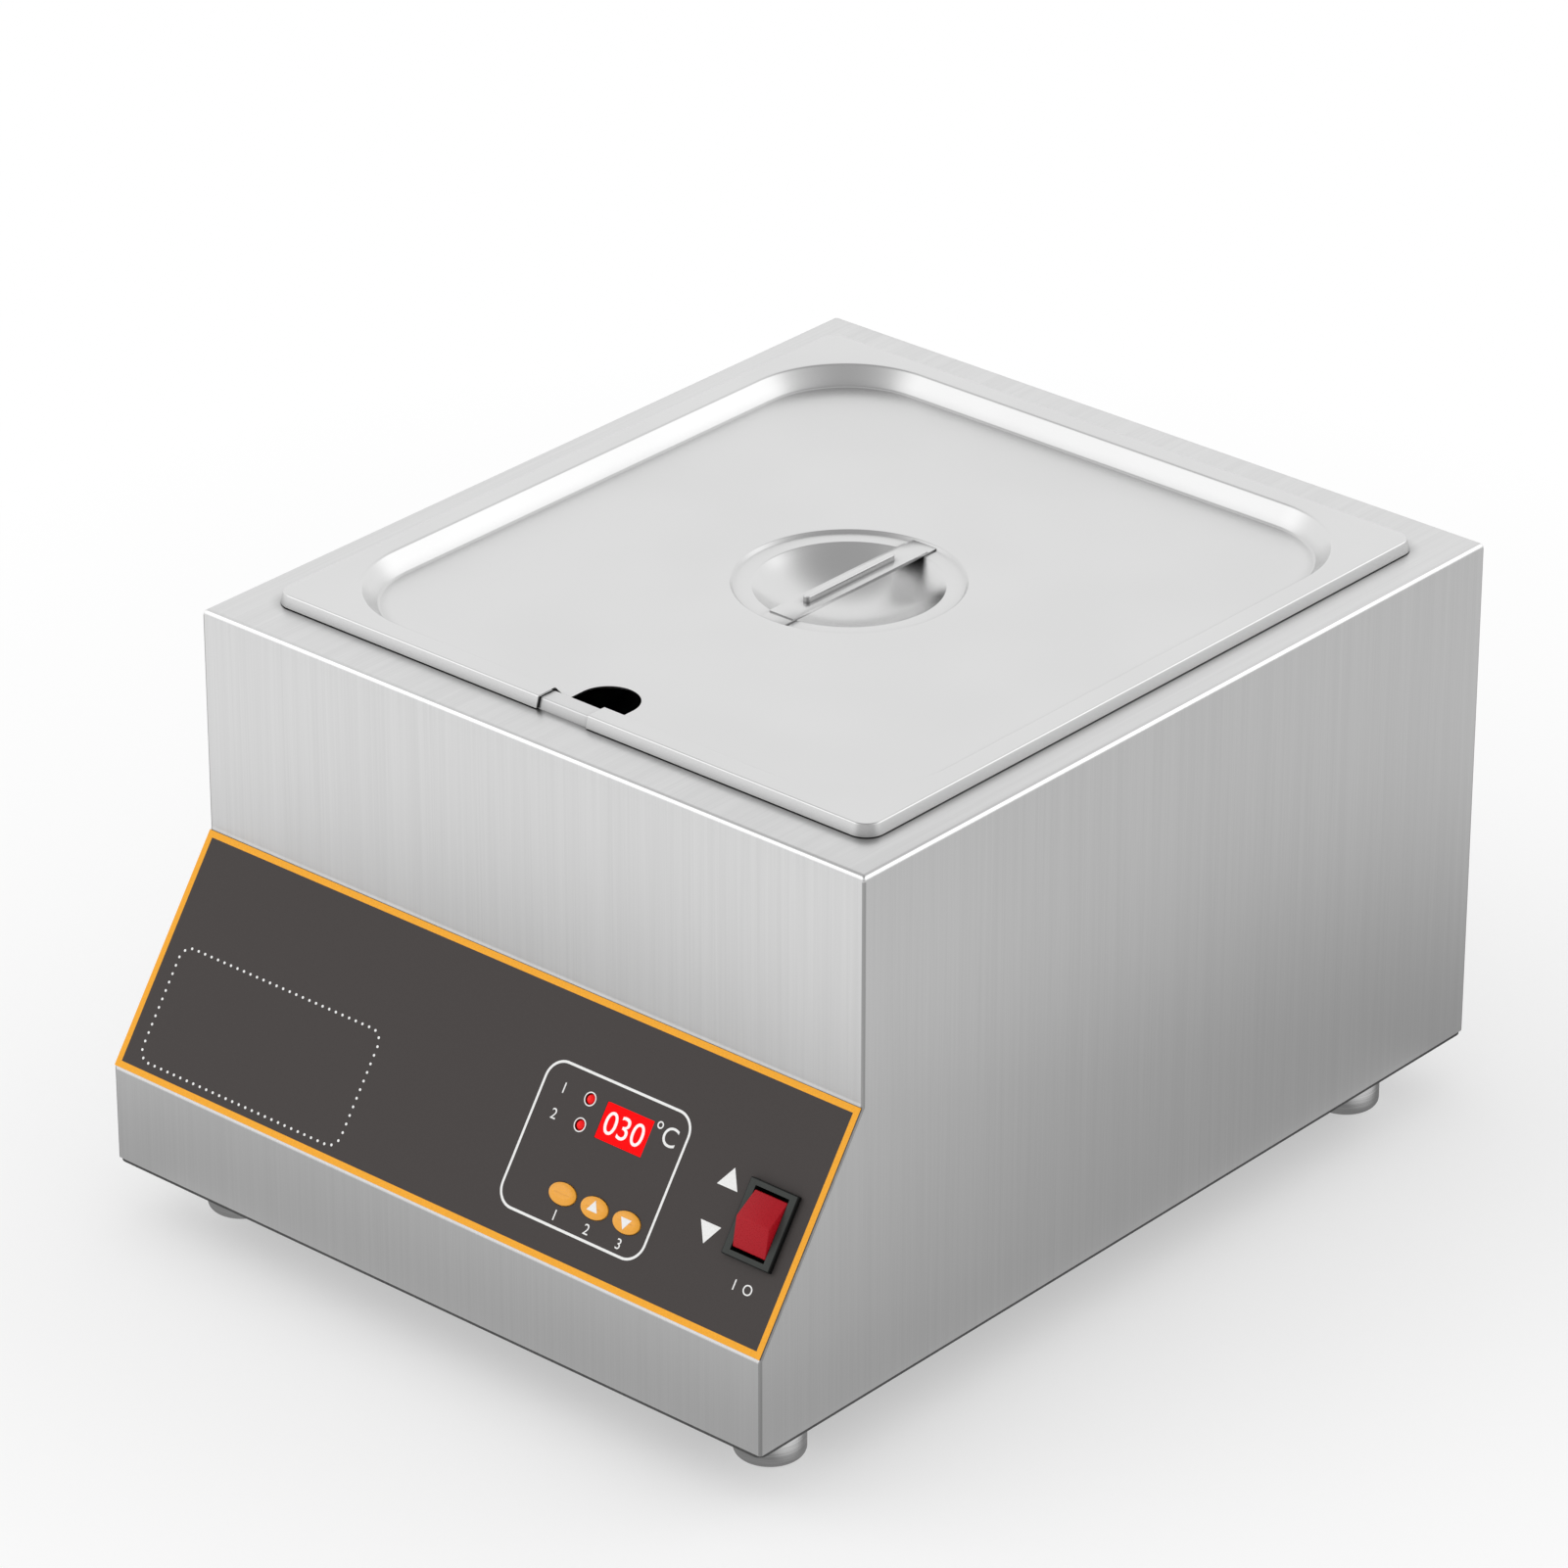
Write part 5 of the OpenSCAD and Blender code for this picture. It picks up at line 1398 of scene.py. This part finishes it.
# %% [markdown]
# ## The keys
# Each key is an oval with a crowned face, a flange that stops it behind the sheet, and a stem that
# reaches the switch on the board. A flattened sphere could crown it, but then its edge would be thin, so
# the oval's own top steps in along an arc. One key is modelled and copied to the three places.

# %% Keys
KEY_TOP = 1.8 * MM
CROWN_R = 6.8 * MM
CROWN_SLOPE = 28
FLANGE_SIZE = Vector((16.4, 11.4)) * MM
FLANGE_LOW = -2.5 * MM
FLANGE_TOP = -1.5 * MM
STEM_R = 1.5 * MM
STEM_LOW = -10.5 * MM
crown_h = CROWN_R * (1 - math.cos(math.radians(CROWN_SLOPE)))
flange_middle = (FLANGE_LOW + FLANGE_TOP) / 2
key = oval_block("key", KEY_SIZE, flange_middle, KEY_TOP - crown_h)
step_in(arc_moves(CROWN_R, CROWN_SLOPE, 0, steps=7))
end_edit()
flange = oval_block("flange", FLANGE_SIZE, FLANGE_LOW, FLANGE_TOP)
end_edit()
combine(key, flange, "UNION")
stem_len = flange_middle - STEM_LOW
combine(key, rod("stem", STEM_R, stem_len, (0, 0, STEM_LOW + stem_len / 2)), "UNION")
smooth(key, 40)
print("key", len(key.data.polygons), "faces")

# %% [markdown]
# The keys go to their places one by one. Two of them carry a printed arrow. The crown falls away under
# it, so the arrow's lower face is pushed down into the key, and no gap shows at its corners.

# %% Keys and arrows in their places
BUTTONS = ("button_set", "button_up", "button_down")
KEY_ARROW = Vector((5.6, 4.6)) * MM


def key_arrow(button):
    """An arrow whose foot is sunk into the crown of a key."""
    arrow = printed_triangle(f"arrow_{button}", *KEY_ARROW, button == "button_up")
    open_edit(arrow)
    bpy.ops.transform.translate(value=(0, 0, KEY_TOP - FILM_TOP))
    pick_faces(arrow, lambda at, normal: normal.z < -FACING)
    bpy.ops.transform.translate(value=(0, 0, -crown_h / 2))
    end_edit()
    return arrow


for button, at in zip(BUTTONS, KEY_PLACES):
    placed = onto_panel(copy_of(key, f"key_{button}"), at)
    finish_piece(placed, key_plastic, button, "orange_key", button)
    if button != "button_set":
        finish_piece(onto_panel(key_arrow(button), at), white_ink, button, "orange_key")
discard(key)

# %% [markdown]
# ## The rocker switch
# The rocker is a moulded block with a ridge across its middle, on two pins. Its side view could be
# extruded, but a box needs fewer points: the top is split and its middle line raised, and the foot is
# drawn in so that the rocker has room to tilt.

# %% Rocker
ROCKER_W = 17 * MM
ROCKER_LEN = 24 * MM
ROCKER_END_TOP = 2.7 * MM
ROCKER_END_LOW = -1 * MM
ROCKER_RIDGE = 8.1 * MM
ROCKER_HEEL = 5 * MM
ROCKER_HEEL_LOW = -6.5 * MM
ROCKER_EDGE = 0.35 * MM
PIN_R = 1.45 * MM
PIN_LEN = 20 * MM
PIN_AT = -3 * MM
rocker = box(
    "rocker", (ROCKER_W, ROCKER_LEN, ROCKER_END_TOP - ROCKER_END_LOW),
    (0, 0, (ROCKER_END_TOP + ROCKER_END_LOW) / 2),
)
open_edit(rocker)
bpy.ops.mesh.bisect(plane_co=(0, 0, 0), plane_no=(0, 1, 0))
pick_edges(rocker, lambda a, b: all(abs(v.y) < CLOSE and v.z > ROCKER_END_TOP - CLOSE for v in (a, b)))
bpy.ops.transform.translate(value=(0, 0, ROCKER_RIDGE - ROCKER_END_TOP))
pick_faces(rocker, lambda at, normal: normal.z < -FACING)
pull((0, 0, ROCKER_HEEL_LOW - ROCKER_END_LOW))
bpy.ops.transform.resize(value=(1, 2 * ROCKER_HEEL / ROCKER_LEN, 1), center_override=(0, 0, 0))
bpy.ops.mesh.select_all(action="SELECT")
bpy.ops.mesh.dissolve_limited(angle_limit=SAME_PLANE)
end_edit()
soften(rocker, ROCKER_EDGE)
combine(rocker, rod("pin", PIN_R, PIN_LEN, (0, 0, PIN_AT), (0, math.pi / 2, 0)), "UNION")
smooth(rocker)
onto_panel(rocker, SWITCH_AT)
finish_piece(rocker, rocker_plastic, "rocker", "red_rocker", "switch_rocker")

# %% [markdown]
# The housing is a flat bezel on a body that goes through the sheet, with a room for the rocker and a
# hole for its pins. Insets could hollow one block. Boxes that are joined and cut keep each wall at its
# own size, so they are used here. The top of the bezel and the end walls of the room get a paler copy
# of the plastic: painted light, where they catch more light than the rest.

# %% Switch housing
BEZEL_SIZE = Vector((25, 32.5)) * MM
BEZEL_TOP = 3.0 * MM
BEZEL_EDGE = 0.5 * MM
BODY_SIZE = Vector((21.6, 29.1)) * MM
BODY_LOW = -22 * MM
ROOM_SIZE = Vector((17.6, 27.3)) * MM
ROOM_LOW = -9.95 * MM
PIN_HOLE_R = 1.5 * MM
PIN_HOLE_LEN = 40 * MM


def is_pale(at, normal):
    """Whether a face gets the painted light: the top of the bezel or an end wall of the room."""
    if normal.z > FACING:
        return at.z > BEZEL_TOP - CLOSE
    return abs(abs(at.y) - ROOM_SIZE[1] / 2) < CLOSE


bezel_h = BEZEL_TOP - FILM_TOP
housing = box("switch_bezel", (*BEZEL_SIZE, bezel_h), (0, 0, FILM_TOP + bezel_h / 2))
soften(housing, BEZEL_EDGE)
body_h = FILM_TOP + bezel_h / 2 - BODY_LOW
combine(housing, box("body", (*BODY_SIZE, body_h), (0, 0, BODY_LOW + body_h / 2)), "UNION")
room_h = BEZEL_TOP - ROOM_LOW + CUT
combine(housing, box("room", (*ROOM_SIZE, room_h), (0, 0, ROOM_LOW + room_h / 2)), "DIFFERENCE")
pin_hole = rod("pin_hole", PIN_HOLE_R, PIN_HOLE_LEN, (0, 0, PIN_AT), (0, math.pi / 2, 0))
combine(housing, pin_hole, "DIFFERENCE")
smooth(housing)
give_finish(housing, bezel_plastic)
refinish(housing, bezel_painted_light, is_pale)
onto_panel(housing, SWITCH_AT)
finish_piece(housing, None, "base", "black_plastic", "switch_housing")
